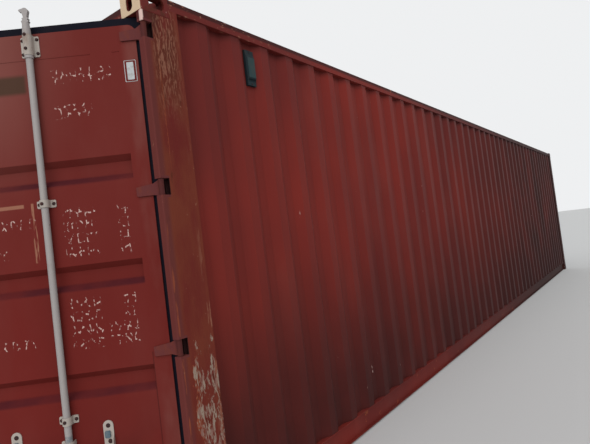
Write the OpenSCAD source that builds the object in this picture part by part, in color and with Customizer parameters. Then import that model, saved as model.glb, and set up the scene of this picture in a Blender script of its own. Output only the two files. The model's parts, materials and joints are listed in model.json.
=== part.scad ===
// Forty foot high cube shipping container, door end towards -X, in millimetres.
// The origin lies midway between the four bottom corner sockets, on the ground plane.
// "Right" is the side at -Y, on the right of someone who faces the doors from outside.

/* [Overall] */
// Length over the corner castings
length = 12192; // [9125:1:13716]
// Width over the corner castings
width = 2438; // [2200:1:2600]
// Height over the corner castings
height = 2896; // [2896:1:3200]
// How far the frame stands in behind the castings' faces
set_in = 3; // [2:0.5:8]

/* [Corner castings] */
// Casting length, along the container
cast_l = 178; // [170:1:190]
// Casting width, across the container
cast_w = 162; // [155:1:175]
// Casting height
cast_h = 118; // [110:1:130]
// Wall under the load face
cast_load_wall = 28.5; // [24:0.5:32]
// Other walls of the casting
cast_wall = 15; // [12:0.5:20]
// Round of the outer upright corner
cast_round = 14; // [6:1:20]
// Length of the load face slot
slot_l = 124; // [110:0.5:128]
// Width of the load face slot
slot_w = 63.5; // [58:0.5:66]
// Slot centre from the casting's end face
slot_u = 103.5; // [100:0.5:106]
// Slot centre from the casting's side face
slot_v = 89.5; // [86:0.5:92]
// Length of the lying hole in the side face
side_hole_l = 101.5; // [90:0.5:110]
// Height of the lying hole in the side face
side_hole_h = 63.5; // [55:0.5:66]
// Width of the upright hole in the end face
end_hole_w = 51; // [45:0.5:56]
// Height of the upright hole in the end face
end_hole_h = 79.5; // [70:0.5:82]

/* [Door end posts] */
// Length of the post's side face
post_l = 234; // [220:1:260]
// Depth of the post across the container, past the door leaf
post_w = 46; // [42:1:52]
// Depth of the post beside the door leaf
post_jamb_w = 41; // [36:1:44]
// Length of the shallower stretch beside the leaf
post_jamb_l = 119; // [115:1:140]
// Plate thickness of the door end posts
post_t = 6; // [4:0.5:8]
// Round of the post's outer upright edge
post_round = 8; // [4:1:12]

/* [Front posts] */
// Leg of the front post along the side
front_post_l = 175; // [150:1:190]
// Leg of the front post along the front
front_post_w = 117; // [90:1:150]
// Thickness of both legs
front_post_d = 50; // [46:1:60]

/* [Rails and end beams] */
// Side of the square top rail
top_rail = 60; // [50:1:70]
// Wall of the top rail
top_rail_t = 3; // [2.5:0.5:5]
// Top of the top rail below the castings' top
top_drop = 14; // [8:1:24]
// Height of the floor and of the bottom rail's upper flange
floor_z = 170; // [160:1:200]
// Underside of rails and sills above the ground
ground_gap = 12; // [8:1:20]
// Plate thickness of bottom rails, header and sills
beam_t = 4.5; // [3.5:0.5:6]
// Width of the bottom rail's upper flange
rail_flange = 48; // [44:1:56]
// Width of the bottom rail's lower flange
rail_foot = 30; // [20:1:40]
// Front face of door header and sill behind the container's end plane
beam_u = 63; // [58:1:70]
// Top of the door header below the castings' top
header_drop = 6; // [4:1:12]
// Top of the door sill
sill_z = 165; // [155:1:175]
// Depth of the door sill
sill_d = 100; // [90:1:130]
// Depth of the front header
front_header_d = 60; // [50:1:80]
// Depth of the front sill
front_sill_d = 80; // [60:1:110]

/* [Walls and roof] */
// Side wall sheet thickness
wall_t = 2; // [1.6:0.1:3]
// Outer face of the side wall behind the castings' face
wall_v = 9; // [6:0.5:12]
// Depth of the side wall's corrugation
wall_wave = 36; // [25:1:40]
// Outer flat of the side wall's corrugation
wall_out = 72; // [60:1:90]
// Slope of the side wall's corrugation
wall_slope = 68; // [40:1:80]
// Inner flat of the side wall's corrugation
wall_in = 70; // [60:1:90]
// Inner flat beside the door end post
wall_first = 79; // [60:1:120]
// Depth of the front wall's corrugation
front_wave = 45.6; // [30:0.1:48]
// Outer flat of the front wall's corrugation
front_out = 110; // [90:1:130]
// Slope of the front wall's corrugation
front_slope = 18; // [12:1:30]
// Inner flat of the front wall's corrugation
front_in = 104; // [90:1:130]
// Roof sheet thickness
roof_t = 2; // [1.6:0.1:3]
// Depth of the roof's corrugation
roof_wave = 20; // [12:1:26]
// Flats of the roof's corrugation
roof_flat = 91; // [70:1:110]
// Slopes of the roof's corrugation
roof_slope = 13.5; // [10:0.5:20]
// Plain margin of the roof beside each top rail
roof_margin = 60; // [40:1:120]
// Length of the plates that guard the roof at the castings
guard_l = 280; // [200:1:400]
// Width of the plates that guard the roof at the castings
guard_w = 300; // [200:1:400]
// Thickness of the roof's guard plates
guard_t = 3; // [2:0.5:4]

/* [Floor] */
// Thickness of the floor boards
board_t = 28; // [24:1:32]
// Height of the floor's cross members
member_h = 122; // [100:1:125]
// Flange of a cross member
member_w = 45; // [35:1:60]
// Plate thickness of a cross member
member_t = 4; // [3:0.5:6]
// Spacing of the cross members
member_step = 300; // [250:1:400]
// First cross member from the castings
member_first = 125; // [20:1:300]
// Width of the rail along the floor's middle
centre_rail_w = 76; // [60:1:120]
// Clear width of the tunnel under the front end
tunnel_w = 1029; // [1000:1:1100]
// Length of the tunnel
tunnel_l = 3315; // [3000:1:3500]
// Plate thickness of the tunnel
tunnel_t = 6; // [4:0.5:8]

/* [Doors] */
// Angle at which the right door stands open
door_open = 39; // [0:1:90]
// Hinge pin behind the container's end plane
pin_u = 22; // [20:1:26]
// Hinge pin inward from the container's side plane
pin_v = 22; // [20:1:26]
// Radius of a hinge pin
pin_r = 10; // [8:0.5:11]
// Running clearance round a hinge pin
pin_play = 0.1; // [0.05:0.01:0.1]
// Outer face of the leaf behind the pins
leaf_b = 41; // [38:1:46]
// Thickness of the leaf's frame
leaf_t = 45; // [40:1:50]
// Leaf's steel edge from the pins
leaf_a = 55; // [52:1:70]
// Gap round a closed leaf's seal at header, sill and posts
leaf_gap = 5; // [5:0.5:8]
// Half of the gap between the two leaves' seals
meet_gap = 6; // [5.5:0.5:10]
// Width of the seal at top and bottom
seal_z = 40; // [30:1:45]
// Width of the seal at the leaves' meeting edge
seal_meet = 19; // [14:1:30]
// Face of the seal behind the leaf's outer face
seal_back = 9; // [8:1:12]
// Thickness of the seal
seal_t = 32; // [24:1:34]
// Thickness of the seal's two lips
lip_t = 8; // [4:0.5:10]
// How far the lips stand out past the seal's core
lip_out = 10; // [4:1:14]
// Width of the leaf's upright members
stile = 90; // [60:1:100]
// Height of the leaf's top and bottom members
door_rail = 133; // [100:1:150]
// Round of the leaf's steel corners, and of its seal's
leaf_round = 40; // [20:1:60]
// Wall of the leaf's members
stile_t = 3.2; // [2.5:0.1:5]
// Thickness of the door panel
panel_t = 2; // [1.6:0.1:3]
// Depth of the panel's recesses
recess_d = 34; // [24:1:36]
// Flat of a recess
recess_flat = 65; // [50:1:90]
// Slope of a recess
recess_slope = 30; // [20:1:40]
// Spacing of the recesses
recess_step = 535; // [400:1:600]

/* [Hinges] */
// Height of a hinge knuckle
knuckle_h = 84; // [70:1:95]
// Foot of a hinge blade below the hinge's middle
blade_foot = 33; // [20:1:40]
// Top of a hinge blade above the hinge's middle, at the bend
blade_top = 26; // [15:1:40]
// Top of a hinge blade above the hinge's middle, at its free end
blade_end_top = 14; // [8:1:35]
// Rounding of a hinge blade's free corners
blade_round = 8; // [2:1:12]
// Thickness of a hinge blade
blade_t = 10; // [8:0.5:11]
// Reach of a hinge blade from the pin
blade_l = 134; // [105:1:140]
// Where the blade bends onto the leaf, from the pin
blade_bend_a = 47; // [45:1:54]
// Radius of a hinge knuckle
knuckle_r = 14; // [13:0.5:16]
// Thickness of a hinge lug
lug_t = 12; // [10:0.5:14]
// Gap between knuckle and lug
lug_gap = 0.3; // [0.3:0.1:2]
// Lowest hinge above the ground
hinge_z = 263; // [250:1:300]
// Length of the post's cut-out at a hinge
hinge_cut = 62; // [58:1:66]

/* [Lock rods] */
// Radius of a lock rod
rod_r = 17; // [14:0.5:18]
// Wall of a lock rod
rod_t = 4; // [3:0.5:6]
// Rod axis behind the hinge pins
rod_b = 13; // [12:0.5:16]
// Outer rod from the hinge pins
rod_outer_a = 585; // [520:1:620]
// Inner rod from the hinge pins
rod_inner_a = 1031; // [1000:1:1060]
// Running clearance of a rod in its brackets
rod_play = 0.3; // [0.3:0.1:1]
// Plate thickness of a rod bracket
strap_t = 5; // [4:0.5:6]
// Half width of a rod bracket over its feet
strap_half = 47; // [44:1:60]
// Height of a rod's plain brackets
strap_h = 38; // [28:1:45]
// Half width of a rod's end brackets
end_strap_half = 45; // [42:1:60]
// Height of a rod's end brackets
end_strap_h = 106; // [90:1:130]
// End brackets in from the leaf's steel edges
end_strap_in = 16; // [0:1:30]
// Bend of a bracket's feet
strap_bend = 6; // [3:1:8]
// Rounding of a bracket's foot corners
foot_round = 7; // [3:1:10]
// Height above the ground of the upper plain bracket
strap_high_z = 1858; // [1700:1:1950]
// Height above the ground of the middle plain bracket
strap_mid_z = 783; // [760:1:900]
// Height of the bracket over the handle's hub
hub_strap_h = 42; // [30:1:60]
// Gap between that bracket and the hub
hub_strap_gap = 9; // [6:1:14]
// Thickness of a cam
cam_t = 22; // [16:1:24]
// Reach of a cam's beak from the rod's axis
cam_reach = 26; // [22:1:34]
// Height of a cam above the header's underside
cam_h = 76; // [70:1:90]
// Half width of a cam at its root
cam_root = 16; // [14:0.5:18]
// Half width of a cam's neck
cam_neck = 9; // [7:0.5:12]
// Height of the neck above the header's underside
cam_neck_h = 30; // [24:1:36]
// How far a cam leans towards the hinges
cam_lean = 3; // [0:0.5:4]
// Radius of a cam's head
cam_head_r = 16; // [12:0.5:17]
// Radius of the teeth on a cam's neck
cam_tooth = 4; // [3:0.5:6]
// Radius of a beak's tip
beak_r = 5; // [4:0.5:8]
// Drop of a beak's tip below the top of the head
beak_drop = 7; // [3:0.5:12]
// Radius of the collar on a rod, at its end brackets
collar_r = 21; // [19:0.5:22]
// Height of the collar
collar_h = 14; // [8:1:20]
// Room beside and over a cam in the beam
pocket_gap = 5; // [5:0.5:8]
// Room on a cam's far side, from the rod's axis
pocket_back = 28; // [26:1:36]
// Plate thickness of the pocket's liner
pocket_t = 5; // [4:0.5:6]
// Plate thickness of a keeper
keeper_t = 10; // [8:0.5:12]
// Foot of a keeper along the beam
keeper_foot = 22; // [16:1:30]

/* [Handles] */
// Height above the ground of a handle
handle_z = 596; // [560:1:630]
// Height of a handle's bar
handle_h = 38; // [30:1:45]
// Thickness of a handle's bar
handle_t = 12; // [10:1:14]
// Reach of a handle from its rod
handle_l = 330; // [280:1:340]
// Catch from its rod
catch_a = 185; // [160:1:220]
// Width of a catch
catch_w = 50; // [42:1:60]
// Top of a catch above the handle's middle
catch_top = 158; // [130:1:170]
// Foot of a catch below the handle's middle
catch_low = 50; // [40:1:60]
// Plate thickness of a catch
catch_t = 5; // [4:0.5:6]
// Top of a catch's side cheek above the handle's middle
catch_cheek_top = 98; // [80:1:110]
// Foot of the cheek above the handle's middle
catch_cheek_low = 28; // [26:1:40]
// How far the cheek stands out
catch_cheek_out = 20; // [10:1:24]
// Gap between a handle and the shelf under it
shelf_gap = 5; // [5:0.5:10]
// Radius of a catch's rivet hole
catch_hole_r = 7; // [5:0.5:9]
// Radius of the hub that carries a handle
hub_r = 24; // [21:0.5:26]
// Height of the hub
hub_h = 70; // [56:1:80]
// Length of the hub's cheeks from the rod's axis
cheek_l = 58; // [45:1:70]
// Thickness across both cheeks
cheek_w = 42; // [36:1:46]
// Gap between handle and cheeks
cheek_gap = 0.3; // [0.2:0.1:0.5]
// Radius of the lock hole at a handle's end
handle_hole_r = 6; // [4:0.5:8]

/* [Vents] */
// Width of a vent
vent_w = 80; // [60:1:100]
// Height of a vent
vent_h = 229; // [150:1:240]
// Top of the vents below the castings' top
vent_drop = 126; // [100:1:200]
// Face of a vent's hood behind the side wall's outer flats
vent_back = 4; // [0:0.5:10]
// Rise of the hood over the vent's base
vent_rise = 12; // [6:1:16]
// Base beyond the hood at either end
vent_margin = 22; // [14:1:40]
// Bevel at the hood's ends
vent_bevel = 30; // [10:1:40]
// Bevel along the hood's sides
vent_side = 6; // [2:1:10]
// Wall of the hood
vent_shell = 4; // [3:0.5:6]
// Bars across the vent's mouth
vent_bars = 5; // [2:1:8]
// Thickness of a bar
vent_bar_t = 3; // [2:0.5:5]
// Radius of a vent's screw hole
vent_hole_r = 3; // [2:0.5:5]

/* [Hidden] */
$fn = 48;

// Colours
maroon = [0.42, 0.16, 0.14];
rust_brown = [0.36, 0.20, 0.15];
rod_grey = [0.62, 0.60, 0.58];
rubber_black = [0.09, 0.10, 0.12];
vent_green = [0.14, 0.24, 0.22];
board_brown = [0.45, 0.33, 0.22];

// Heights of the main frame
casting_bottom = height - cast_h;
header_z0 = casting_bottom;
header_z1 = height - header_drop;
rail_z1 = height - top_drop;
rail_z0 = rail_z1 - top_rail;
board_z0 = floor_z - board_t;
door_mid = (sill_z + header_z0) / 2;

// Post outline, from the corner of the castings
post_u1 = set_in + post_l;
post_v1 = set_in + post_w;
jamb_u1 = set_in + post_jamb_l;
jamb_v1 = set_in + post_jamb_w;

// Bottom rail
rail_web_v1 = set_in + 3 + rail_flange;

// Door leaf, measured from its hinge pins
seal_a = jamb_v1 + leaf_gap - pin_v;
leaf_end = width / 2 - pin_v - meet_gap;
steel_end = leaf_end - seal_meet;
seal_z0 = sill_z + leaf_gap;
seal_z1 = header_z0 - leaf_gap;
steel_z0 = seal_z0 + seal_z;
steel_z1 = seal_z1 - seal_z;
panel_z0 = steel_z0 + door_rail;
panel_z1 = steel_z1 - door_rail;
hinge_zs = [for (i = [0 : 3]) hinge_z + i * (2 * (door_mid - hinge_z)) / 3];
cut_half = knuckle_h / 2 + lug_gap + lug_t;
rods = [rod_outer_a, rod_inner_a];

// Cam and the pocket that it turns in
cam_sweep = norm([cam_reach, cam_t / 2]);
rod_u = pin_u + rod_b;
pocket_u = rod_u + cam_sweep + pocket_gap;
pocket_v1 = cam_sweep + pocket_gap;
pocket_z0 = header_z0 + cam_neck_h + pocket_gap;
pocket_z1 = header_z0 + cam_h + 2 * pocket_gap;

// A corner's own frame: u inward from the end, v inward from the side
module corner(front = 0, left = 0)
    mirror([front, 0, 0]) mirror([0, left, 0])
        translate([-length / 2, -width / 2, 0]) children();
module both_sides() {
    children();
    mirror([0, 1, 0]) children();
}
module both_ends() {
    children();
    mirror([1, 0, 0]) children();
}
// What is drawn for the top is turned over for the bottom, about the doors' middle
module top_and_bottom() {
    children();
    translate([0, 0, 2 * door_mid]) mirror([0, 0, 1]) children();
}
// A closed leaf's own frame: x inward from the pins, y along the leaf from the pins
module leaf(left = 0, open = 0)
    mirror([0, left, 0]) translate([pin_u - length / 2, pin_v - width / 2, 0])
        rotate(open) children();

// Rectangle with one rounded corner at the origin
module one_round(l, w, r)
    difference() {
        square([l, w]);
        difference() {
            square(r);
            translate([r, r]) circle(r);
        }
    }
// Rectangle with four rounded corners, from corner a to corner b
module all_round(a, b, r)
    difference() {
        translate(a) square(b - a);
        for (x = [0, 1], y = [0, 1])
            translate([x ? b[0] : a[0], y ? b[1] : a[1]]) mirror([x, 0]) mirror([0, y]) difference() {
                translate([-1, -1]) square(r + 1);
                translate([r, r]) circle(r);
            }
    }
// Slot with round ends, its length along x
module slot(l, w) {
    square([l - w, w], center = true);
    for (s = [-1, 1]) translate([s * (l - w) / 2, 0]) circle(w / 2);
}
// Closed box section, from corner a to corner b in the section's plane
module box_section(a, b, t)
    difference() {
        translate(a) square(b - a);
        translate(a + [t, t]) square(b - a - 2 * [t, t]);
    }
// Beam across the container with a section drawn in u and z, from v0 to the mirrored v0
module cross_beam(v0)
    translate([0, width - v0, 0]) rotate([90, 0, 0]) linear_extrude(width - 2 * v0) children();
// Thin sheet that follows the points, its second face t further along y
module sheet(points, t)
    polygon(concat(points, [for (i = [len(points) - 1 : -1 : 0]) points[i] + [0, t]]));
// Points of a corrugation: from a low flat, each wave goes up, along and down again
function waves(n, x0, low, high, slope, top, bottom) =
    [for (k = [0 : n - 1]) let (x = x0 + k * (2 * slope + top + bottom))
        each [[x, low], [x + slope, high], [x + slope + top, high], [x + 2 * slope + top, low]]];

// Corner castings

module casting()
    difference() {
        linear_extrude(cast_h) one_round(cast_l, cast_w, cast_round);
        translate([cast_wall, cast_wall, cast_load_wall])
            cube([cast_l - 2 * cast_wall, cast_w - 2 * cast_wall, cast_h - cast_load_wall - cast_wall]);
        translate([slot_u, slot_v, -1]) linear_extrude(cast_load_wall + 2) slot(slot_l, slot_w);
        translate([slot_u, -1, cast_h / 2 + 2]) rotate([-90, 0, 0])
            linear_extrude(cast_wall + 2) slot(side_hole_l, side_hole_h);
        translate([-1, slot_v, cast_h / 2 + 2]) rotate([0, 90, 0])
            linear_extrude(cast_wall + 2) slot(end_hole_h, end_hole_w);
    }
module castings_low(front) both_sides() corner(front) casting();
module castings_top(front)
    both_sides() corner(front) translate([0, 0, height]) mirror([0, 0, 1]) casting();
module castings_door_low() color(rust_brown) castings_low(0);
module castings_door_top() color(rust_brown) castings_top(0);
module castings_front_low() color(rust_brown) castings_low(1);
module castings_front_top() color(rust_brown) castings_top(1);

// Posts

module door_post_section()
    difference() {
        union() {
            translate([set_in, set_in]) one_round(post_l, post_jamb_w, post_round);
            translate([jamb_u1, set_in]) square([post_u1 - jamb_u1, post_w]);
        }
        translate([set_in + post_t, set_in + post_t])
            square([post_l - 2 * post_t, post_jamb_w - 2 * post_t]);
        translate([jamb_u1 + post_t, set_in + post_t])
            square([post_u1 - jamb_u1 - 2 * post_t, post_w - 2 * post_t]);
    }
module door_post()
    difference() {
        translate([0, 0, cast_h]) linear_extrude(rail_z0 - cast_h) door_post_section();
        translate([-1, -1, casting_bottom]) cube([cast_l + 1, cast_w, cast_h]);
        translate([cast_l, -1, 0]) cube([post_l, cast_w, floor_z]);
        for (z = hinge_zs) translate([-1, -1, z - cut_half])
            cube([hinge_cut + 1, post_v1 + 2, 2 * cut_half]);
    }
module door_posts() color(rust_brown) both_sides() corner() door_post();

module front_post_section() {
    l = front_post_l;
    w = front_post_w;
    d = front_post_d;
    t = post_t;
    translate([set_in, set_in]) difference() {
        one_round(l, w, post_round);
        translate([d, d]) square([l, w]);
        translate([t, t]) square([l - 2 * t, d - 2 * t]);
        translate([t, t]) square([d - 2 * t, w - 2 * t]);
    }
}
module front_posts()
    color(maroon) both_sides() corner(1)
        translate([0, 0, cast_h]) linear_extrude(casting_bottom - cast_h) front_post_section();

// Rails and end beams

module top_rails()
    color(maroon) both_sides() translate([cast_l - length / 2, -width / 2, 0])
        rotate([90, 0, 90]) linear_extrude(length - 2 * cast_l)
            box_section([set_in, rail_z0], [set_in + top_rail, rail_z1], top_rail_t);

// Channel that opens outwards; the wall stands on its upper flange
module bottom_rail_section() {
    v1 = rail_web_v1;
    translate([v1 - beam_t, ground_gap]) square([beam_t, floor_z - ground_gap]);
    translate([v1 - rail_flange, floor_z - beam_t]) square([rail_flange, beam_t]);
    translate([v1 - rail_foot, ground_gap]) square([rail_foot, beam_t]);
}
module bottom_rails()
    color(maroon) both_sides() translate([cast_l - length / 2, -width / 2, 0])
        rotate([90, 0, 90]) linear_extrude(length - 2 * cast_l) bottom_rail_section();

// One recess for a cam, in the upper beam: its liner, and the hole in front of it
module pocket_liner()
    translate([beam_u, -pocket_back - pocket_t, pocket_z0 - pocket_t])
        cube([pocket_u - beam_u + pocket_t, pocket_v1 + pocket_back + 2 * pocket_t,
            pocket_z1 - pocket_z0 + 2 * pocket_t]);
module pocket_hole()
    translate([beam_u - 1, -pocket_back, pocket_z0])
        cube([pocket_u - beam_u + 1, pocket_v1 + pocket_back, pocket_z1 - pocket_z0]);
module at_rods() both_sides() corner() for (a = rods) translate([0, pin_v + a, 0]) children();

module door_header()
    color(maroon) difference() {
        union() {
            corner() cross_beam(cast_w)
                box_section([beam_u, header_z0], [cast_l, header_z1], beam_t);
            at_rods() pocket_liner();
        }
        at_rods() pocket_hole();
    }

// The sill's lower part fits between the castings; its upper part runs on over them to the posts
module sill_lower(u0, u1)
    cross_beam(cast_w) box_section([u0, ground_gap], [u1, cast_h + beam_t], beam_t);
module turned_over() translate([0, 0, 2 * door_mid]) mirror([0, 0, 1]) children();
module door_sill()
    color(rust_brown) difference() {
        union() {
            corner() sill_lower(beam_u, beam_u + sill_d);
            corner() cross_beam(post_v1)
                box_section([beam_u, cast_h], [beam_u + sill_d, sill_z], beam_t);
            turned_over() at_rods() pocket_liner();
        }
        turned_over() at_rods() pocket_hole();
    }

module front_header()
    color(maroon) corner(1) cross_beam(cast_w)
        box_section([set_in, casting_bottom], [set_in + front_header_d, rail_z1], beam_t);
module front_sill()
    color(maroon) difference() {
        union() {
            corner(1) sill_lower(set_in, set_in + front_sill_d);
            corner(1) cross_beam(set_in + front_post_w)
                box_section([set_in, cast_h], [set_in + front_sill_d, floor_z], beam_t);
        }
        translate([length / 2 - tunnel_l, -tunnel_w / 2 - tunnel_t, -1])
            cube([tunnel_l + 1, tunnel_w + 2 * tunnel_t, board_z0 + 1]);
    }

// Walls and roof

side_wall_l = length - post_u1 - cast_l;
wall_pitch = wall_out + 2 * wall_slope + wall_in;
wall_n = floor((side_wall_l - wall_first) / wall_pitch);
wall_deep = wall_v + wall_wave;
wall_points = concat([[0, wall_deep]],
    waves(wall_n, wall_first, wall_deep, wall_v, wall_slope, wall_out, wall_in),
    [[side_wall_l, wall_deep]]);
module side_wall()
    translate([post_u1 - length / 2, -width / 2, floor_z])
        linear_extrude(rail_z0 - floor_z) sheet(wall_points, wall_t);
module side_wall_right() color(maroon) side_wall();
module side_wall_left() color(maroon) mirror([0, 1, 0]) side_wall();

front_v0 = set_in + front_post_w;
front_wall_w = width - 2 * front_v0;
front_pitch = front_out + 2 * front_slope + front_in;
front_n = floor((front_wall_w - front_in) / front_pitch);
front_first = (front_wall_w - front_n * front_pitch + front_in) / 2;
front_face = set_in + 1;
front_points = concat([[0, front_face + front_wave]],
    waves(front_n, front_first, front_face + front_wave, front_face, front_slope, front_out, front_in),
    [[front_wall_w, front_face + front_wave]]);
module front_wall()
    color(maroon) translate([length / 2, front_v0 - width / 2, floor_z]) rotate(90)
        linear_extrude(casting_bottom - floor_z) sheet(front_points, wall_t);

roof_l = length - 2 * cast_l;
roof_pitch = 2 * (roof_flat + roof_slope);
roof_n = floor((roof_l - roof_flat) / roof_pitch);
roof_first = (roof_l - roof_n * roof_pitch + roof_flat) / 2;
roof_low = rail_z1 - roof_t - roof_wave;
roof_points = concat([[0, rail_z1 - roof_t]],
    waves(roof_n, roof_first, rail_z1 - roof_t, roof_low, roof_slope, roof_flat, roof_flat),
    [[roof_l, rail_z1 - roof_t]]);
roof_v0 = set_in + top_rail;
module roof_strip(v0, w, points, t)
    translate([cast_l - length / 2, v0 + w - width / 2, 0]) rotate([90, 0, 0])
        linear_extrude(w) sheet(points, t);
module roof_panel()
    color(maroon) {
        roof_strip(roof_v0 + roof_margin, width - 2 * (roof_v0 + roof_margin), roof_points, roof_t);
        both_sides() {
            roof_strip(roof_v0, roof_margin, [[0, rail_z1 - roof_t], [roof_l, rail_z1 - roof_t]], roof_t);
            translate([cast_l - length / 2, roof_v0 + roof_margin + roof_t - width / 2, 0])
                rotate([90, 0, 0]) linear_extrude(roof_t)
                    polygon(concat(roof_points, [[roof_l, rail_z1], [0, rail_z1]]));
        }
    }

// Flat plates that guard the roof beside the castings, and close it behind the front header
module roof_plates()
    color(maroon) {
        both_sides() both_ends() translate([cast_l - length / 2, wall_v - width / 2, rail_z1])
            cube([guard_l, guard_w, guard_t]);
        corner(1) translate([set_in + front_header_d, cast_w, rail_z1 - beam_t])
            cube([cast_l - set_in - front_header_d, width - 2 * cast_w, beam_t]);
    }

// Floor

module member_section() {
    square([member_w, member_t]);
    square([member_t, member_h]);
    translate([0, member_h - member_t]) square([member_w, member_t]);
}
members_x0 = cast_l + member_first - length / 2;
tunnel_x0 = length / 2 - tunnel_l;
tunnel_x1 = length / 2 - set_in;
members_x1 = length / 2 - cast_l - member_w;
member_n = floor((members_x1 - members_x0) / member_step);
tunnel_out = tunnel_w / 2 + tunnel_t;
module member(y0, l)
    translate([0, y0 + l, board_z0 - member_h]) rotate([90, 0, 0]) linear_extrude(l) member_section();
module crossmembers()
    color(maroon) {
        inner = width / 2 - rail_web_v1;
        for (k = [0 : member_n]) {
            x = members_x0 + k * member_step;
            if (x + member_w < tunnel_x0)
                translate([x, 0, 0]) member(-inner, 2 * inner);
            else if (x > tunnel_x0)
                both_sides() translate([x, 0, 0]) member(-inner, inner - tunnel_out);
        }
    }
module gooseneck_tunnel()
    color(maroon) translate([tunnel_x0, 0, 0]) rotate([90, 0, 90]) linear_extrude(tunnel_x1 - tunnel_x0)
        difference() {
            translate([-tunnel_out, board_z0 - member_h]) square([2 * tunnel_out, member_h]);
            translate([-tunnel_w / 2, 0]) square([tunnel_w, board_z0 - tunnel_t]);
        }
floor_u0 = beam_u + sill_d;
floor_l = length - floor_u0 - set_in - front_sill_d;
module floor_boards()
    color(board_brown) both_sides()
        translate([floor_u0 - length / 2, rail_web_v1 - width / 2, board_z0])
            cube([floor_l, width / 2 - rail_web_v1 - centre_rail_w / 2, board_t]);
module floor_centre_rail()
    color(maroon) translate([floor_u0 - length / 2, 0, board_z0]) rotate([90, 0, 90])
        linear_extrude(floor_l) difference() {
            translate([-centre_rail_w / 2, 0]) square([centre_rail_w, board_t]);
            translate([member_t - centre_rail_w / 2, -1])
                square([centre_rail_w - 2 * member_t, board_t - member_t + 1]);
        }

// Vents, one high on each side wall, seated in the second inner flat and between its slopes

vent_x = post_u1 - length / 2 + wall_first + wall_pitch + 2 * wall_slope + wall_out + wall_in / 2;
vent_v0 = wall_v + vent_back;
vent_base = vent_v0 + vent_rise;
vent_v1 = wall_deep - wall_wave * (vent_w - wall_in) / 2 / wall_slope;
module vent_plan()
    polygon([[-vent_w / 2, vent_base], [vent_w / 2, vent_base], [vent_w / 2, vent_v1 - 1],
        [wall_in / 2 - 1, wall_deep], [1 - wall_in / 2, wall_deep], [-vent_w / 2, vent_v1 - 1]]);
// Hood with bevelled sides and ends, from a plan and a side view
module vent_hood() {
    half = vent_w / 2 - 1;
    z0 = vent_margin;
    z1 = vent_h - vent_margin;
    intersection() {
        linear_extrude(vent_h)
            polygon([[vent_side - half, vent_v0], [half - vent_side, vent_v0], [half, vent_base + 1],
                [-half, vent_base + 1]]);
        translate([-vent_w / 2, 0, 0]) rotate([90, 0, 90]) linear_extrude(vent_w)
            polygon([[vent_base + 1, z0], [vent_v0, z0 + vent_bevel], [vent_v0, z1 - vent_bevel],
                [vent_base + 1, z1]]);
    }
}
// Hollow of the hood, which opens through its lower bevel into a mouth between bars
module vent_hollow() {
    half = vent_w / 2 - vent_side - vent_shell;
    z0 = vent_margin + vent_bevel / 3;
    translate([-half, vent_v0 + vent_shell, z0])
        cube([2 * half, wall_deep - vent_v0 - 2 * vent_shell, vent_h - vent_margin - vent_bevel - z0]);
}
module vent() {
    bar_step = (vent_w - 2 * (vent_side + vent_shell)) / (vent_bars + 1);
    translate([vent_x, -width / 2, height - vent_drop - vent_h]) difference() {
        union() {
            linear_extrude(vent_h) vent_plan();
            vent_hood();
        }
        difference() {
            vent_hollow();
            for (k = [1 : vent_bars])
                translate([(k - (vent_bars + 1) / 2) * bar_step - vent_bar_t / 2, vent_v0, 0])
                    cube([vent_bar_t, vent_rise, vent_margin + vent_bevel]);
        }
        for (z = [vent_margin / 2, vent_h - vent_margin / 2]) translate([0, vent_base - 1, z])
            rotate([-90, 0, 0]) cylinder(h = 2 * vent_rise, r = vent_hole_r);
    }
}
module vents() color(vent_green) both_sides() vent();

// Hinges: lugs and pins on the posts, blades on the leaves

module hinge_lugs()
    color(rust_brown) both_sides() corner() for (z = hinge_zs) {
        for (s = [-1, 1]) translate([0, 0, z + s * (cut_half - lug_t / 2) - lug_t / 2])
            linear_extrude(lug_t) translate([set_in, set_in])
                one_round(hinge_cut - set_in, post_jamb_w, post_round);
        translate([pin_u, pin_v, z - cut_half + 1]) cylinder(h = 2 * cut_half - 2, r = pin_r);
    }

module blade_section() {
    front_b = leaf_b - blade_t;
    root = knuckle_r * [cos(16), sin(16)];
    slant = [front_b, blade_bend_a] - root;
    off = blade_t * [slant[1], -slant[0]] / norm(slant);
    difference() {
        union() {
            circle(knuckle_r);
            polygon([root, [front_b, blade_bend_a], [front_b, blade_l], [leaf_b, blade_l],
                [leaf_b, blade_bend_a - 4], root + off, knuckle_r * [cos(-45), sin(-45)]]);
        }
        circle(pin_r + pin_play);
    }
}
// A blade's outline in a and z: as high as the knuckle at the pin, with a level foot and a falling top
module blade_outline() {
    difference() {
        polygon([[-knuckle_r - 1, -knuckle_h / 2], [knuckle_r, -knuckle_h / 2], [blade_bend_a, -blade_foot],
            [blade_l, -blade_foot], [blade_l, blade_end_top], [blade_bend_a, blade_top],
            [knuckle_r, knuckle_h / 2], [-knuckle_r - 1, knuckle_h / 2]]);
        translate([blade_l - blade_round, blade_round - blade_foot]) difference() {
            translate([0, -blade_round - 1]) square(blade_round + 1);
            circle(blade_round);
        }
    }
}
module blade()
    intersection() {
        translate([0, 0, -knuckle_h / 2]) linear_extrude(knuckle_h) blade_section();
        translate([-knuckle_r - 1, 0, 0]) rotate([90, 0, 90])
            linear_extrude(leaf_b + knuckle_r + 2) blade_outline();
    }
module blades() for (z = hinge_zs) translate([0, 0, z]) blade();

// Door leaf, drawn closed in its own frame

module leaf_tube(a0, a1, z0, z1, along)
    difference() {
        translate([leaf_b, a0, z0]) cube([leaf_t, a1 - a0, z1 - z0]);
        translate([leaf_b + stile_t, a0 + (along == "a" ? -1 : stile_t),
            z0 + (along == "z" ? -1 : stile_t)])
            cube([leaf_t - 2 * stile_t, a1 - a0 + (along == "a" ? 2 : -2 * stile_t),
                z1 - z0 + (along == "z" ? 2 : -2 * stile_t)]);
    }
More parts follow.
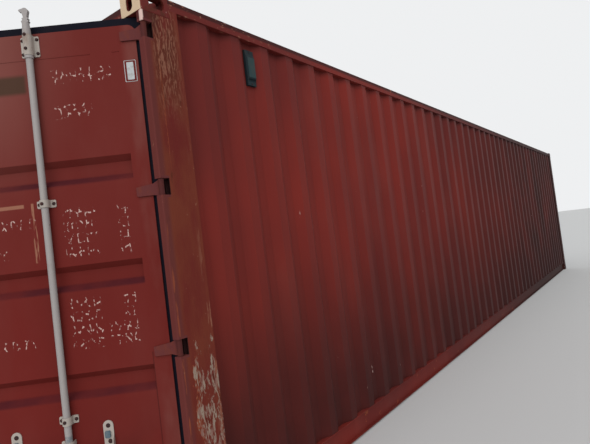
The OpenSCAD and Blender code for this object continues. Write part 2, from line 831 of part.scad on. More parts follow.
// The steel's outline in a and z, drawn in by cut
module leaf_outline(cut = 0)
    all_round([leaf_a + cut, steel_z0 + cut], [steel_end - cut, steel_z1 - cut], leaf_round - cut);
// Thickens an outline in a and z, from t0 to t1 behind the leaf's outer face
module leaf_layer(t0, t1)
    translate([leaf_b + t0, 0, 0]) rotate([90, 0, 90]) linear_extrude(t1 - t0) children();
module leaf_frame() {
    intersection() {
        union() {
            leaf_tube(leaf_a, leaf_a + stile, steel_z0, steel_z1, "z");
            leaf_tube(steel_end - stile, steel_end, steel_z0, steel_z1, "z");
        }
        leaf_layer(0, leaf_t) leaf_outline();
    }
    leaf_tube(leaf_a + stile, steel_end - stile, steel_z0, panel_z0, "a");
    leaf_tube(leaf_a + stile, steel_end - stile, panel_z1, steel_z1, "a");
    leaf_layer(0, leaf_t) difference() {
        leaf_outline();
        leaf_outline(stile_t);
    }
}
recess_h = recess_flat + 2 * recess_slope;
panel_points = concat([[panel_z0, leaf_b]],
    waves(3, door_mid - recess_step - recess_h / 2, leaf_b, leaf_b + recess_d,
        recess_slope, recess_flat, recess_step - recess_h),
    [[panel_z1, leaf_b]]);
module leaf_panel()
    translate([0, steel_end - stile, 0]) rotate([90, 0, 0])
        linear_extrude(steel_end - leaf_a - 2 * stile)
            mirror([1, -1, 0]) sheet(panel_points, panel_t);

// Seal round the steel: two lips with a narrower core between them
module seal_layer(t0, t1, cut)
    leaf_layer(seal_back + t0, seal_back + t1) difference() {
        all_round([seal_a + cut, seal_z0 + cut], [leaf_end - cut, seal_z1 - cut], leaf_round);
        leaf_outline();
    }
module leaf_seal() {
    seal_layer(0, lip_t, 0);
    seal_layer(lip_t, seal_t - lip_t, lip_out);
    seal_layer(seal_t - lip_t, seal_t, 0);
}

// Rod brackets, drawn round the rod's axis; the leaf's face lies at x = strap_foot
strap_foot = leaf_b - rod_b;
strap_in = rod_r + rod_play;
strap_out = strap_in + strap_t;
end_strap_z1 = steel_z1 - end_strap_in;
// A bracket of height h, with a foot on either side or, with one foot, only away from the hinges
module strap_section(half, feet)
    difference() {
        union() {
            circle(strap_out);
            translate([0, -strap_out]) square([strap_foot, 2 * strap_out]);
            for (s = feet) mirror([0, s]) {
                translate([strap_foot - strap_t, strap_in]) square([strap_t, half - strap_in]);
                translate([strap_foot - strap_t, strap_out])
                    polygon([[1, -1], [-strap_bend, -1], [-strap_bend, 0],
                        [-0.3 * strap_bend, 0.3 * strap_bend], [0, strap_bend], [1, strap_bend]]);
            }
        }
        circle(strap_in);
        translate([0, -strap_in]) square([strap_foot + 1, 2 * strap_in]);
    }
module strap(h, half, feet = [0, 1])
    intersection() {
        translate([0, 0, -h / 2]) linear_extrude(h) strap_section(half, feet);
        translate([-strap_out - 1, 0, 0]) rotate([90, 0, 90]) linear_extrude(strap_out + strap_foot + 2)
            all_round([-half, -h / 2], [half, h / 2], foot_round);
    }
module leaf_brackets()
    for (a = rods) translate([rod_b, a, 0]) {
        top_and_bottom() translate([0, 0, end_strap_z1 - end_strap_h / 2])
            strap(end_strap_h, end_strap_half);
        for (z = [strap_high_z, strap_mid_z]) translate([0, 0, z]) strap(strap_h, strap_half);
        translate([0, 0, handle_z + (hub_h + hub_strap_h) / 2 + hub_strap_gap])
            strap(hub_strap_h, strap_half, [0]);
    }

// Handle catches: a round-topped back plate with a side cheek, and a shelf under the handle
module catch() {
    front = strap_foot - catch_t;
    shelf_z = -handle_h / 2 - shelf_gap - catch_t;
    round_z = catch_top - catch_w / 2;
    translate([front, 0, 0]) rotate([90, 0, 90]) linear_extrude(catch_t) difference() {
        union() {
            translate([-catch_w / 2, -catch_low]) square([catch_w, catch_low + round_z]);
            translate([0, round_z]) circle(catch_w / 2);
        }
        translate([0, round_z]) circle(catch_hole_r);
    }
    translate([0, catch_t - catch_w / 2, 0]) rotate([90, 0, 0]) linear_extrude(catch_t)
        polygon([[front + 1, catch_cheek_low], [front - catch_cheek_out, catch_cheek_low],
            [front - catch_cheek_out, (catch_cheek_low + catch_cheek_top) / 2], [front, catch_cheek_top],
            [front + 1, catch_cheek_top]]);
    translate([-handle_t, -catch_w / 2, shelf_z]) {
        cube([front + handle_t, catch_w, catch_t]);
        cube([catch_t, catch_w, catch_t + shelf_gap - 2]);
    }
}
module leaf_catches()
    for (a = rods) translate([rod_b, a - catch_a, handle_z]) catch();

// Lock rods with their cams, and the handles pinned to their hubs

// A cam's outline over the header's underside: it leans towards the hinges, narrows to a toothed neck,
// and its round head bends over into a beak away from the hinges
module cam_outline() {
    foot = [[cam_root, 0], [-cam_root, 0]];
    neck = [[cam_neck - cam_lean, cam_neck_h], [-cam_neck - cam_lean, cam_neck_h]];
    head = [-cam_lean, cam_h - cam_head_r];
    tip = [cam_reach - beak_r, cam_h - beak_drop - beak_r];
    polygon([foot[0], neck[0], neck[1], foot[1]]);
    polygon([neck[0], head + cam_head_r * [1, 0], head - cam_head_r * [1, 0], neck[1]]);
    translate(head) circle(cam_head_r);
    polygon([head + [0, cam_head_r], tip + [0, beak_r], tip - [0, beak_r],
        head + cam_head_r * [cos(-30), sin(-30)]]);
    translate(tip) circle(beak_r);
    for (share = [0.25, 0.7], side = [0, 1])
        translate(foot[side] + share * (neck[side] - foot[side])) circle(cam_tooth);
}
// A socket that tapers from the end bracket to the cam, the cam, and a collar under the bracket
module rod_end() {
    socket_z0 = end_strap_z1 + 1;
    translate([0, 0, socket_z0])
        cylinder(h = header_z0 + 1 - socket_z0, r1 = collar_r, r2 = cam_root + 1);
    translate([-cam_t / 2, 0, header_z0]) rotate([90, 0, 90]) linear_extrude(cam_t) cam_outline();
    translate([0, 0, end_strap_z1 - end_strap_h - collar_h - 1]) difference() {
        cylinder(h = collar_h, r = collar_r);
        translate([0, 0, -1]) cylinder(h = collar_h + 2, r = rod_r - rod_t);
    }
}
// The hub and its two cheeks, with the handle's slot between them
module rod_hub()
    translate([0, 0, handle_z - hub_h / 2]) difference() {
        union() {
            cylinder(h = hub_h, r = hub_r);
            translate([-cheek_w / 2, -cheek_l, 0]) cube([cheek_w, cheek_l, hub_h]);
        }
        translate([-handle_t / 2 - cheek_gap, -cheek_l - 1, -1])
            cube([handle_t + 2 * cheek_gap, cheek_l + 1 - hub_r, hub_h + 2]);
    }
module rod() {
    rod_z0 = 2 * door_mid - steel_z1;
    rod_l = steel_z1 - rod_z0;
    plug = 30;
    translate([0, 0, rod_z0]) difference() {
        cylinder(h = rod_l, r = rod_r);
        translate([0, 0, plug]) cylinder(h = rod_l - 2 * plug, r = rod_r - rod_t);
    }
    top_and_bottom() rod_end();
    rod_hub();
}
// A flat bar with a rounded end, between the hub's cheeks
module handle() {
    root = -hub_r - cheek_gap;
    end_r = handle_h / 2 - 4;
    end_a = end_r - handle_l;
    translate([-handle_t / 2, 0, handle_z]) rotate([90, 0, 90]) linear_extrude(handle_t) difference() {
        union() {
            polygon([[root, -handle_h / 2], [root, handle_h / 2], [end_a, end_r], [end_a, -end_r]]);
            translate([end_a, 0]) circle(end_r);
        }
        translate([end_a, 0]) circle(handle_hole_r);
    }
}
module rod_at(a) translate([rod_b, a, 0]) children();

// The two leaves
module right_leaf() leaf(0, door_open) children();
module left_leaf() leaf(1, 0) children();
module door_right_frame() color(maroon) right_leaf() leaf_frame();
module door_right_panel() color(maroon) right_leaf() leaf_panel();
module door_right_seal() color(rubber_black) right_leaf() leaf_seal();
module door_right_hinges() color(maroon) right_leaf() blades();
module door_right_brackets() color(rod_grey) right_leaf() leaf_brackets();
module door_right_catches() color(rod_grey) right_leaf() leaf_catches();
module door_left_frame() color(maroon) left_leaf() leaf_frame();
module door_left_panel() color(maroon) left_leaf() leaf_panel();
module door_left_seal() color(rubber_black) left_leaf() leaf_seal();
module door_left_hinges() color(maroon) left_leaf() blades();
module door_left_brackets() color(rod_grey) left_leaf() leaf_brackets();
module door_left_catches() color(rod_grey) left_leaf() leaf_catches();
module rod_right_outer() color(rod_grey) right_leaf() rod_at(rod_outer_a) rod();
module rod_right_inner() color(rod_grey) right_leaf() rod_at(rod_inner_a) rod();
module rod_left_inner() color(rod_grey) left_leaf() rod_at(rod_inner_a) rod();
module rod_left_outer() color(rod_grey) left_leaf() rod_at(rod_outer_a) rod();
module handle_right_outer() color(rod_grey) right_leaf() rod_at(rod_outer_a) handle();
module handle_right_inner() color(rod_grey) right_leaf() rod_at(rod_inner_a) handle();
module handle_left_inner() color(rod_grey) left_leaf() rod_at(rod_inner_a) handle();
module handle_left_outer() color(rod_grey) left_leaf() rod_at(rod_outer_a) handle();

// Keepers that hold the cams, on header and sill: a hooked one by the beak, a straight one by the neck
keeper_foot_t = 0.8 * keeper_t;
keeper_z0 = header_z0 + 22;
keeper_z1 = header_z0 + cam_h + 8;
module keeper() {
    web_v = cam_sweep + pocket_gap + 1;
    lip_v = cam_root + 6;
    back_v = -pocket_back - keeper_t - 2;
    lip_u = rod_u - cam_t / 2 - pocket_gap - keeper_t;
    foot_u = beam_u - keeper_foot_t;
    stop_u = rod_u - cam_t / 2;
    translate([0, 0, keeper_z0]) linear_extrude(keeper_z1 - keeper_z0) {
        translate([lip_u, web_v]) square([beam_u - lip_u, keeper_t]);
        translate([lip_u, lip_v]) square([keeper_t, web_v - lip_v + keeper_t]);
        translate([foot_u, web_v]) square([keeper_foot_t, keeper_t + keeper_foot]);
        translate([stop_u, back_v]) square([beam_u - stop_u, keeper_t]);
        translate([foot_u, back_v - keeper_foot]) square([keeper_foot_t, keeper_foot + keeper_t]);
    }
}
module cam_keepers() color(rod_grey) at_rods() top_and_bottom() keeper();

castings_door_low();
castings_door_top();
castings_front_low();
castings_front_top();
door_posts();
front_posts();
top_rails();
bottom_rails();
door_header();
door_sill();
front_header();
front_sill();
side_wall_right();
side_wall_left();
front_wall();
roof_panel();
roof_plates();
crossmembers();
gooseneck_tunnel();
floor_boards();
floor_centre_rail();
vents();
hinge_lugs();
cam_keepers();
door_right_frame();
door_right_panel();
door_right_seal();
door_right_hinges();
door_right_brackets();
door_right_catches();
door_left_frame();
door_left_panel();
door_left_seal();
door_left_hinges();
door_left_brackets();
door_left_catches();
rod_right_outer();
rod_right_inner();
rod_left_inner();
rod_left_outer();
handle_right_outer();
handle_right_inner();
handle_left_inner();
handle_left_outer();
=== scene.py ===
"""Finish and small fittings of a forty foot shipping container, built round its CAD frame."""

import json
from math import cos, pi, radians, sin

import bpy
import numpy as np
from bpy.props import FloatProperty, FloatVectorProperty, PointerProperty
from mathutils import Matrix, Vector


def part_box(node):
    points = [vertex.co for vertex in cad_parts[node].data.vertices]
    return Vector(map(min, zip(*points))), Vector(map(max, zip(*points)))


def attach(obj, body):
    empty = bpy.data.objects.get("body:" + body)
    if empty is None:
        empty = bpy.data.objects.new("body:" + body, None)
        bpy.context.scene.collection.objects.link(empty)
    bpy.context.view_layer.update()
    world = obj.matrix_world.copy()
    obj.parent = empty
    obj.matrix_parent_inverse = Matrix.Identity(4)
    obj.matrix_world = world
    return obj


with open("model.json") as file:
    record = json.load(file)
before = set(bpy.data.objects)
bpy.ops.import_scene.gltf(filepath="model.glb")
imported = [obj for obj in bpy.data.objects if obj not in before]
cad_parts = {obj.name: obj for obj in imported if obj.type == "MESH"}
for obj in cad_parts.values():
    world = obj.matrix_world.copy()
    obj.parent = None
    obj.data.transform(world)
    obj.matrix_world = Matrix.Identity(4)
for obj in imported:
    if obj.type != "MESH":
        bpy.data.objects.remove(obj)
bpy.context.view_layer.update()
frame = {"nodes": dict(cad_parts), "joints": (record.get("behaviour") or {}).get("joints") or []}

bl_info = {
    "name": "Shipping container finish",
    "version": (1, 0, 0),
    "blender": (4, 5, 0),
    "location": "View3D > Sidebar > Container",
    "description": "Paint, wear, bolts and weld beads for a forty foot shipping container",
    "category": "Object",
}

# Places taken from the frame, in metres
JOINTS = {joint["name"]: joint for joint in frame["joints"]}
PIN = Vector(JOINTS["door_left_swing"]["pos_m"])
OPEN_ANGLE = radians(-JOINTS["door_right_swing"]["range_deg"][0])
DOOR_MIDDLE = PIN.z
CASTING_LOW, CASTING_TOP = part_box("castings_door_low")
END_X, SIDE_Y = CASTING_LOW.x, -CASTING_LOW.y
TOP_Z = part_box("castings_door_top")[1].z
LEAF_LOW, LEAF_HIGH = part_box("door_left_frame")
PANEL_LOW, PANEL_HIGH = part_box("door_left_panel")
LEAF_FACE = LEAF_LOW.x - PIN.x
RODS = {name: PIN.y - JOINTS[f"rod_left_{name}_turn"]["pos_m"][1] for name in ("outer", "inner")}
ROD_DEPTH = JOINTS["rod_left_outer_turn"]["pos_m"][0] - PIN.x
BODIES = {"right": "door_right", "left": "door_left"}
LEAF_PLACES = {
    "right": {"Location": (PIN.x, -PIN.y, 0), "Rotation": (0, 0, OPEN_ANGLE)},
    "left": {"Location": (PIN.x, PIN.y, 0), "Scale": (1, -1, 1)},
}
POST_FRONT, POST_BACK = (corner.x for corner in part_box("door_posts"))
RAIL_LOW, RAIL_HIGH = (corner.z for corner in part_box("top_rails"))
PANEL_NEAR, PANEL_FAR = PIN.y - PANEL_HIGH.y, PIN.y - PANEL_LOW.y
LUG_LOW, LUG_HIGH = (corner.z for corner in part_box("hinge_lugs"))

# Middles of the panels' recesses, and how far below them their lower slopes start and end
RECESS_STEP = 0.535
RECESSES = [DOOR_MIDDLE + step * RECESS_STEP for step in (-1, 0, 1)]
SLOPE_LOW, SLOPE_HIGH = 0.064, 0.032

# A post's four cut-outs behind its hinges: half their height, and how far they reach in from its front
CUT_HALF, CUT_DEEP = 0.055, 0.062
CUT_STEP = (LUG_HIGH - LUG_LOW - 2 * CUT_HALF) / 3

# Weld beads: how far in from a casting's faces and corner they lie, start and end, how far in from the
# castings the side walls' beads lie, and their gap at both ends; then the runs over a leaf's panel
BEAD_SINK, BEAD_START, BEAD_END = 0.005, 0.014, 0.04
WALL_INSET, BEAD_GAP = 0.045, 0.01
UPPER_SEAMS = (PANEL_NEAR, 0.186), (0.293, PANEL_FAR)

# Fades along the container, each from none to full
# The first is the reach of a painted shade that darkens the container towards the far end
FAR_SHADE_REACH = -4.8, 3.5
DOOR_END_REACH = -4.6, -5.7
SIDE_WALL_END = 5.96, 5.93

# Fades up the walls and the top rail
WALL_GRIME = 1.8, 0.2
# Under the top rail lies a painted shadow of its overhang
UNDER_RAIL_SHADE = RAIL_LOW - 0.06, RAIL_LOW
RAIL_TOP = RAIL_HIGH - 0.034, RAIL_HIGH - 0.018

# Fades up the door end posts; the rust line's is a span
POST_RUNS = 2.15, 2.55
POST_RUST_LINE = 2.0, 2.6
POST_ORANGE_LINE = 2.0, 1.4
POST_BACK_EDGE = 1.9, 1.2
POST_BARE = 1.25, 0.9
# The post's top under the casting is darkened as painted shade
POST_SHADE_TOP = 2.64, 2.74
# The pale strip under the casting is partly worn paint and partly a painted highlight of the sunlit face
POST_LIT_WORN_TOP = 2.7, 2.72

# Fades on the leaves, up or away from the hinges
# The first pair places a painted glare of light high up on a leaf, away from the hinges
GLARE_UP, GLARE_ALONG = (1.6, 2.7), (0.25, 0.9)
HINGE_BLOOM = 0.15, 0.1
VEIL_UP = 1.1, 2.4
LEAF_DIRT = 0.9, 0.3

# Rectangles on the leaves: near edge, far edge, bottom, top
PANEL_SEAM = (PANEL_NEAR - 0.003, PANEL_NEAR + 0.002, 0.3, 1.06)
TOUCH_UP = (0.628, 0.95, 2.43, 2.524)
STRIPE = (0.70, 0.87, 1.851, 1.869)
DRIPS = (0.642, 0.667, 1.57, 1.87)
LABEL = (0.068, 0.129, 2.436, 2.548)

# Worn marks on the right leaf: the size of their cells, their step along a row, and their columns, each
# with its near edge, far edge, half the height of a row, and the middles of its rows
MARK_CELL = 0.034, 0.05
MARK_STEP = 0.046
MARK_COLUMNS = (
    (0.2, 0.509, 0.036, (2.499,)),
    (0.312, 0.5, 0.035, (2.317,)),
    (0.352, 0.514, 0.024, (1.798, 1.733, 1.67, 1.604)),
    (0.178, 0.242, 0.024, (1.793, 1.727, 1.66, 1.592)),
    (0.363, 0.526, 0.024, (1.347, 1.279, 1.211, 1.141)),
    (0.198, 0.256, 0.024, (1.343, 1.277)),
    (0.198, 0.339, 0.024, (1.208, 1.143)),
    (0.64, 0.84, 0.024, (1.77,)),
    (0.8, 0.92, 0.0225, (1.6225,)),
    (0.711, 0.9, 0.0215, (1.1735,)),
)
MARK_ROWS = [
    (near, far, middle - half, middle + half)
    for near, far, half, middles in MARK_COLUMNS for middle in middles
]

# Heights of a blue-grey patch on the rods by the handles, and length of a floor board
HANDLE_PATCH = 0.684, 0.712
BOARD = 1.22

# How far fittings are sunk into what carries them
SINK = 0.001

# Colours of floor, fill light and background, and where the key lamp stands
FLOOR_COLOUR = (0.62, 0.62, 0.61, 1)
FILL_COLOUR = (0.95, 0.97, 1.0, 1)
BACKDROP_COLOUR = (0.86, 0.87, 0.88, 1)
KEY_SIDE = (-0.74, -0.42, 0.56)
SENSOR_WIDTH = 36.0


def paint_level(red, green, blue):
    """Linear colour of three screen levels from 0 to 255."""
    level = np.array([red, green, blue]) / 255
    linear = np.where(level <= 0.04045, level / 12.92, ((level + 0.055) / 1.055) ** 2.4)
    return tuple(float(x) for x in linear)


def colour(name, description, *levels):
    """A colour that a user can change, given by three screen levels."""
    return FloatVectorProperty(
        name=name, description=description, subtype="COLOR", size=3, min=0, max=1,
        default=paint_level(*levels),
    )


def length(name, description, default):
    """A length that a user can change, in metres."""
    return FloatProperty(name=name, description=description, default=default, unit="LENGTH")


def angle(name, description, degrees):
    """An angle that a user can change."""
    return FloatProperty(name=name, description=description, subtype="ANGLE", default=radians(degrees))


class ContainerPaints(bpy.types.PropertyGroup):
    """Colours of the container's finishes."""

    wall: colour("Wall", "Maroon paint of the walls", 124, 40, 32)
    wall_dark: colour("Wall, darker", "Maroon paint where it is dirty or less faded", 101, 34, 30)
    # Haze is chalky bloom, and high up on the doors also a painted glare of light
    haze_and_glare: colour("Haze", "Chalky bloom on sunburnt paint", 128, 80, 73)
    # Grime is real dirt in places, and painted shade under the top rail, under the castings and by the hinge
    # knuckles
    grime_and_shade: colour("Grime", "Dark film low down and under edges", 46, 20, 19)
    # Film is painted shade: the brown-grey darkening towards the far end
    shade_film: colour("Film", "Brown-grey film towards the far end", 52, 24, 22)
    door: colour("Door", "Maroon paint of the door leaves", 108, 35, 31)
    # Shade is painted shade: the purple-black on the recesses' lower slopes stands for their shadow
    shade: colour("Shade", "Purple-black dirt on the recesses' lower slopes", 62, 24, 32)
    touch_up: colour("Touch-up", "Brown paint rolled over old marks", 66, 52, 40)
    post: colour("Post", "Orange-brown paint of the door end posts", 112, 52, 36)
    post_edge: colour("Post edge", "Maroon-grey paint along the posts' front edge", 96, 46, 45)
    streak: colour("Streak", "Pinkish beige runs on posts and doors", 150, 102, 82)
    bare: colour("Bare patch", "Old grey-beige primer under lost paint", 148, 130, 115)
    rust: colour("Rust", "Deep rust", 80, 38, 26)
    rust_light: colour("Light rust", "Fresh orange rust", 156, 80, 50)
    # Chalk is the pale worn end face of the castings, partly a painted highlight of its sunlit side
    sunlit_chalk: colour("Chalk", "Pale worn face of the castings", 205, 180, 150)
    marks: colour("Marks", "Worn pale paint flecks on the doors", 214, 184, 174)
    label: colour("Label", "Grey-white of the blank label", 186, 190, 190)
    hardware: colour("Hardware", "Zinc grey of the lock rods", 153, 147, 145)
    cream: colour("Cream", "Cream paint of brackets and catches", 167, 158, 149)
    stain: colour("Stain", "Brown stain on hardware", 118, 90, 76)
    bolt: colour("Bolt", "Rusted bolt heads", 44, 30, 32)
    rubber: colour("Rubber", "Blue-black seal rubber", 18, 18, 28)
    vent: colour("Vent", "Dark green moulded vent", 40, 62, 64)
    latch: colour("Latch", "Blue-grey paint of the catches' tongues", 78, 96, 106)
    wood: colour("Wood", "Worn floor boards", 128, 92, 62)
    dirt: colour("Dirt", "Dust and road dirt", 92, 74, 62)


class ContainerFixings(bpy.types.PropertyGroup):
    """Sizes of the small fittings."""

    bolt_radius: length("Bolt radius", "Radius of a bracket's bolt head", 0.0085)
    bolt_height: length("Bolt height", "Height of a bracket's bolt head", 0.006)
    rivet_radius: length("Rivet radius", "Radius of a catch's rivet head", 0.011)
    screw_radius: length("Screw radius", "Radius of a vent's screw head", 0.006)
    bead_radius: length("Bead radius", "Radius of a weld bead", 0.004)
    bead_ripple: length("Bead ripple", "Length of one ripple of a weld bead", 0.006)
    bracket_half: length("Bracket half width", "Half width of a rod bracket over its feet", 0.046)
    strap_wall: length("Strap wall", "Plate thickness of the brackets", 0.005)
    strap_radius: length("Strap radius", "Outer radius of a bracket's housing", 0.0223)
    end_bracket: length("End bracket", "Height of a rod's end bracket", 0.106)
    end_inset: length("End inset", "End brackets in from the leaf's steel edges", 0.016)
    end_bolt: length("End bolts", "Bolts of an end bracket in from its ends", 0.017)
    end_rise: length("End bolt rise", "Housing bolts of an end bracket past its foot bolts", 0.014)
    foot_bolt: length("Foot bolt", "Foot bolts outward from the middle of their foot", 0.002)
    bracket_high: length("Upper bracket", "Height of the upper plain bracket", 1.858)
    bracket_middle: length("Middle bracket", "Height of the middle plain bracket", 0.783)
    bracket_hub: length("Hub bracket", "Height of the bracket over the handle's hub", 0.661)
    bolt_lean: angle("Bolt lean", "Turn of the housings' bolts away from the front", 8)
    catch_rivet: length("Catch rivet", "Height of the rivets on the catches", 0.729)
    catch_bolt: length("Catch bolt", "Height of the second bolts on the catches", 0.652)
    catch_aside: length("Catch bolt aside", "Second bolts of the catches aside from the rivets", 0.004)
    tongue_low: length("Tongue foot", "Foot of the tongues on the catches", 0.670)
    tongue_high: length("Tongue top", "Top of the tongues on the catches", 0.704)
    tongue_out: length("Tongue out", "How far the tongues stand out from the catches", 0.009)
    tongue_half: length("Tongue half width", "Half width of the tongues", 0.013)
    catch_offset: length("Catch offset", "Distance of a catch from its rod", 0.185)
    vent_base: length("Vent base", "Face of a vent's base behind the wall's outer flats", 0.016)
    vent_screw: length("Vent screw", "Screws of a vent in from its ends", 0.011)
    label_layer: length("Label layer", "How far each layer of the label stands out", 0.0006)


class ContainerStage(bpy.types.PropertyGroup):
    """Camera, lamps and floor."""

    camera: FloatVectorProperty(
        name="Camera", description="Camera position", subtype="XYZ", unit="LENGTH",
        default=(-7.667, -3.158, 1.528),
    )
    yaw: angle("Yaw", "Viewing direction in plan, from +X towards +Y", 36.19)
    pitch: angle("Pitch", "Rise of the view", 2.09)
    roll: angle("Roll", "Turn about the view", -7.02)
    focal: FloatProperty(name="Focal length", description="In image widths", default=0.83, min=0.1)
    sun: FloatProperty(name="Key lamp", description="Strength of the key lamp", default=1.7, min=0)
    sun_size: angle("Key size", "Apparent size of the key lamp, for soft shadows", 70)
    sky: FloatProperty(name="Fill", description="Strength of the fill light", default=0.62, min=0)
    floor_size: length("Floor size", "Side of the floor", 400.0)


def leaf_to_frame(points, side):
    """Moves points of a closed leaf's own frame (depth behind the pins, distance along the leaf, height)
    into the container's frame: the right leaf is turned open about its pins, the left one mirrored."""
    depth, along, height = np.asarray(points, float).T
    if side == "left":
        return np.column_stack([PIN.x + depth, PIN.y - along, height])
    c, s = cos(OPEN_ANGLE), sin(OPEN_ANGLE)
    return np.column_stack([PIN.x + c * depth - s * along, -PIN.y + s * depth + c * along, height])


def add_object(name, data):
    """Puts a new object into the scene."""
    thing = bpy.data.objects.new(name, data)
    bpy.context.scene.collection.objects.link(thing)
    return thing


def make_piece(name, points, faces, material, body, smooth=True, flip=False):
    """Puts worked-out points and faces into a mesh at the origin that rides on a CAD body."""
    mesh = bpy.data.meshes.new(name)
    if flip:
        faces = [face[::-1] for face in faces]
    mesh.from_pydata(points.tolist(), [], faces)
    mesh.validate()
    mesh.polygons.foreach_set("use_smooth", [smooth] * len(mesh.polygons))
    mesh.materials.append(material)
    piece = add_object(name, mesh)
    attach(piece, body)


def grid_faces(rows, columns, first=0):
    """Quads of a grid of points whose columns close into rings, and fans to a pole point before
    the first ring and after the last one: first is the index of the leading pole."""
    start = first + 1
    ring = np.arange(columns)
    after = (ring + 1) % columns
    row = start + columns * np.arange(rows - 1)[:, None]
    corners = [row + ring, row + after, row + columns + after, row + columns + ring]
    quads = np.stack(corners, axis=-1).reshape(-1, 4)
    top = start + (rows - 1) * columns
    low_fan = np.column_stack([np.full(columns, first), start + after, start + ring])
    high_fan = np.column_stack([np.full(columns, top + columns), top + ring, top + after])
    return quads.tolist() + low_fan.tolist() + high_fan.tolist()


def turned_knobs(profile, centres, outward, steps=12):
    """Bolt heads and the like: a profile of (radius, height) turned round an outward axis at each centre.
    A point at radius r and height h goes to centre + r cos(t) across + r sin(t) up + h outward; the
    profile's first and last points lie on the axis and close the ends."""
    profile = np.asarray(profile, float)
    centres = np.asarray(centres, float)
    outward = np.asarray(outward, float)
    up = np.broadcast_to([0.0, 0.0, 1.0], outward.shape)
    turn = np.linspace(0, 2 * pi, steps, endpoint=False)
    ring_r, ring_h = profile[1:-1].T[:, :, None]
    rings = np.broadcast_arrays(ring_r * np.cos(turn), ring_r * np.sin(turn), ring_h)
    first, last = ([[0, 0, profile[k, 1]]] for k in (0, -1))
    local = np.concatenate([first, np.stack(rings, axis=-1).reshape(-1, 3), last])
    axes = np.stack([np.cross(up, outward), up, outward], axis=1)
    points = (centres[:, None] + local @ axes).reshape(-1, 3)
    starts = range(0, len(points), len(local))
    return points, [face for start in starts for face in grid_faces(len(ring_r), steps, start)]


def weld_beads(runs, radius, ripple, steps=8):
    """Weld beads along straight runs from one point to another. At share s of its length a bead's ring
    has radius r (1 + 0.16 sin^2 of the ripples), and it shrinks to a point at both ends."""
    points, faces, count = [], [], 0
    turn = np.linspace(0, 2 * pi, steps, endpoint=False)
    for start, end in runs:
        start, end = np.asarray(start, float), np.asarray(end, float)
        run = end - start
        reach = np.linalg.norm(run)
        along = run / reach
        side = np.cross(along, [0.0, 0.0, 1.0] if abs(along[2]) < 0.9 else [1.0, 0.0, 0.0])
        side /= np.linalg.norm(side)
        other = np.cross(along, side)
        rings = int(np.clip(reach / ripple * 2, 8, 700))
        s = np.linspace(0, 1, rings + 2)[1:-1]
        size = radius * (1 + 0.16 * np.sin(pi * s * reach / ripple / 2) ** 2)
        size = size * np.sqrt(np.clip(np.minimum(s, 1 - s) * reach / radius, 0.2, 1))
        circle = np.outer(np.cos(turn), side) + np.outer(np.sin(turn), other)
        ring = start + s[:, None, None] * run + size[:, None, None] * circle
        points += [start[None], ring.reshape(-1, 3), end[None]]
        faces += grid_faces(rings, steps, count)
        count += 2 + rings * steps
    return np.concatenate(points), faces


def add_node(tree, kind, feeds, result=0, **choices):
    """Adds a node, feeds its inputs with sockets or constants, and returns one output."""
    node = tree.nodes.new(kind)
    for key, value in choices.items():
        setattr(node, key, value)
    for key, value in feeds.items():
        if isinstance(value, bpy.types.NodeSocket):
            tree.links.new(value, node.inputs[key])
        else:
            node.inputs[key].default_value = value
    return node.outputs[result]


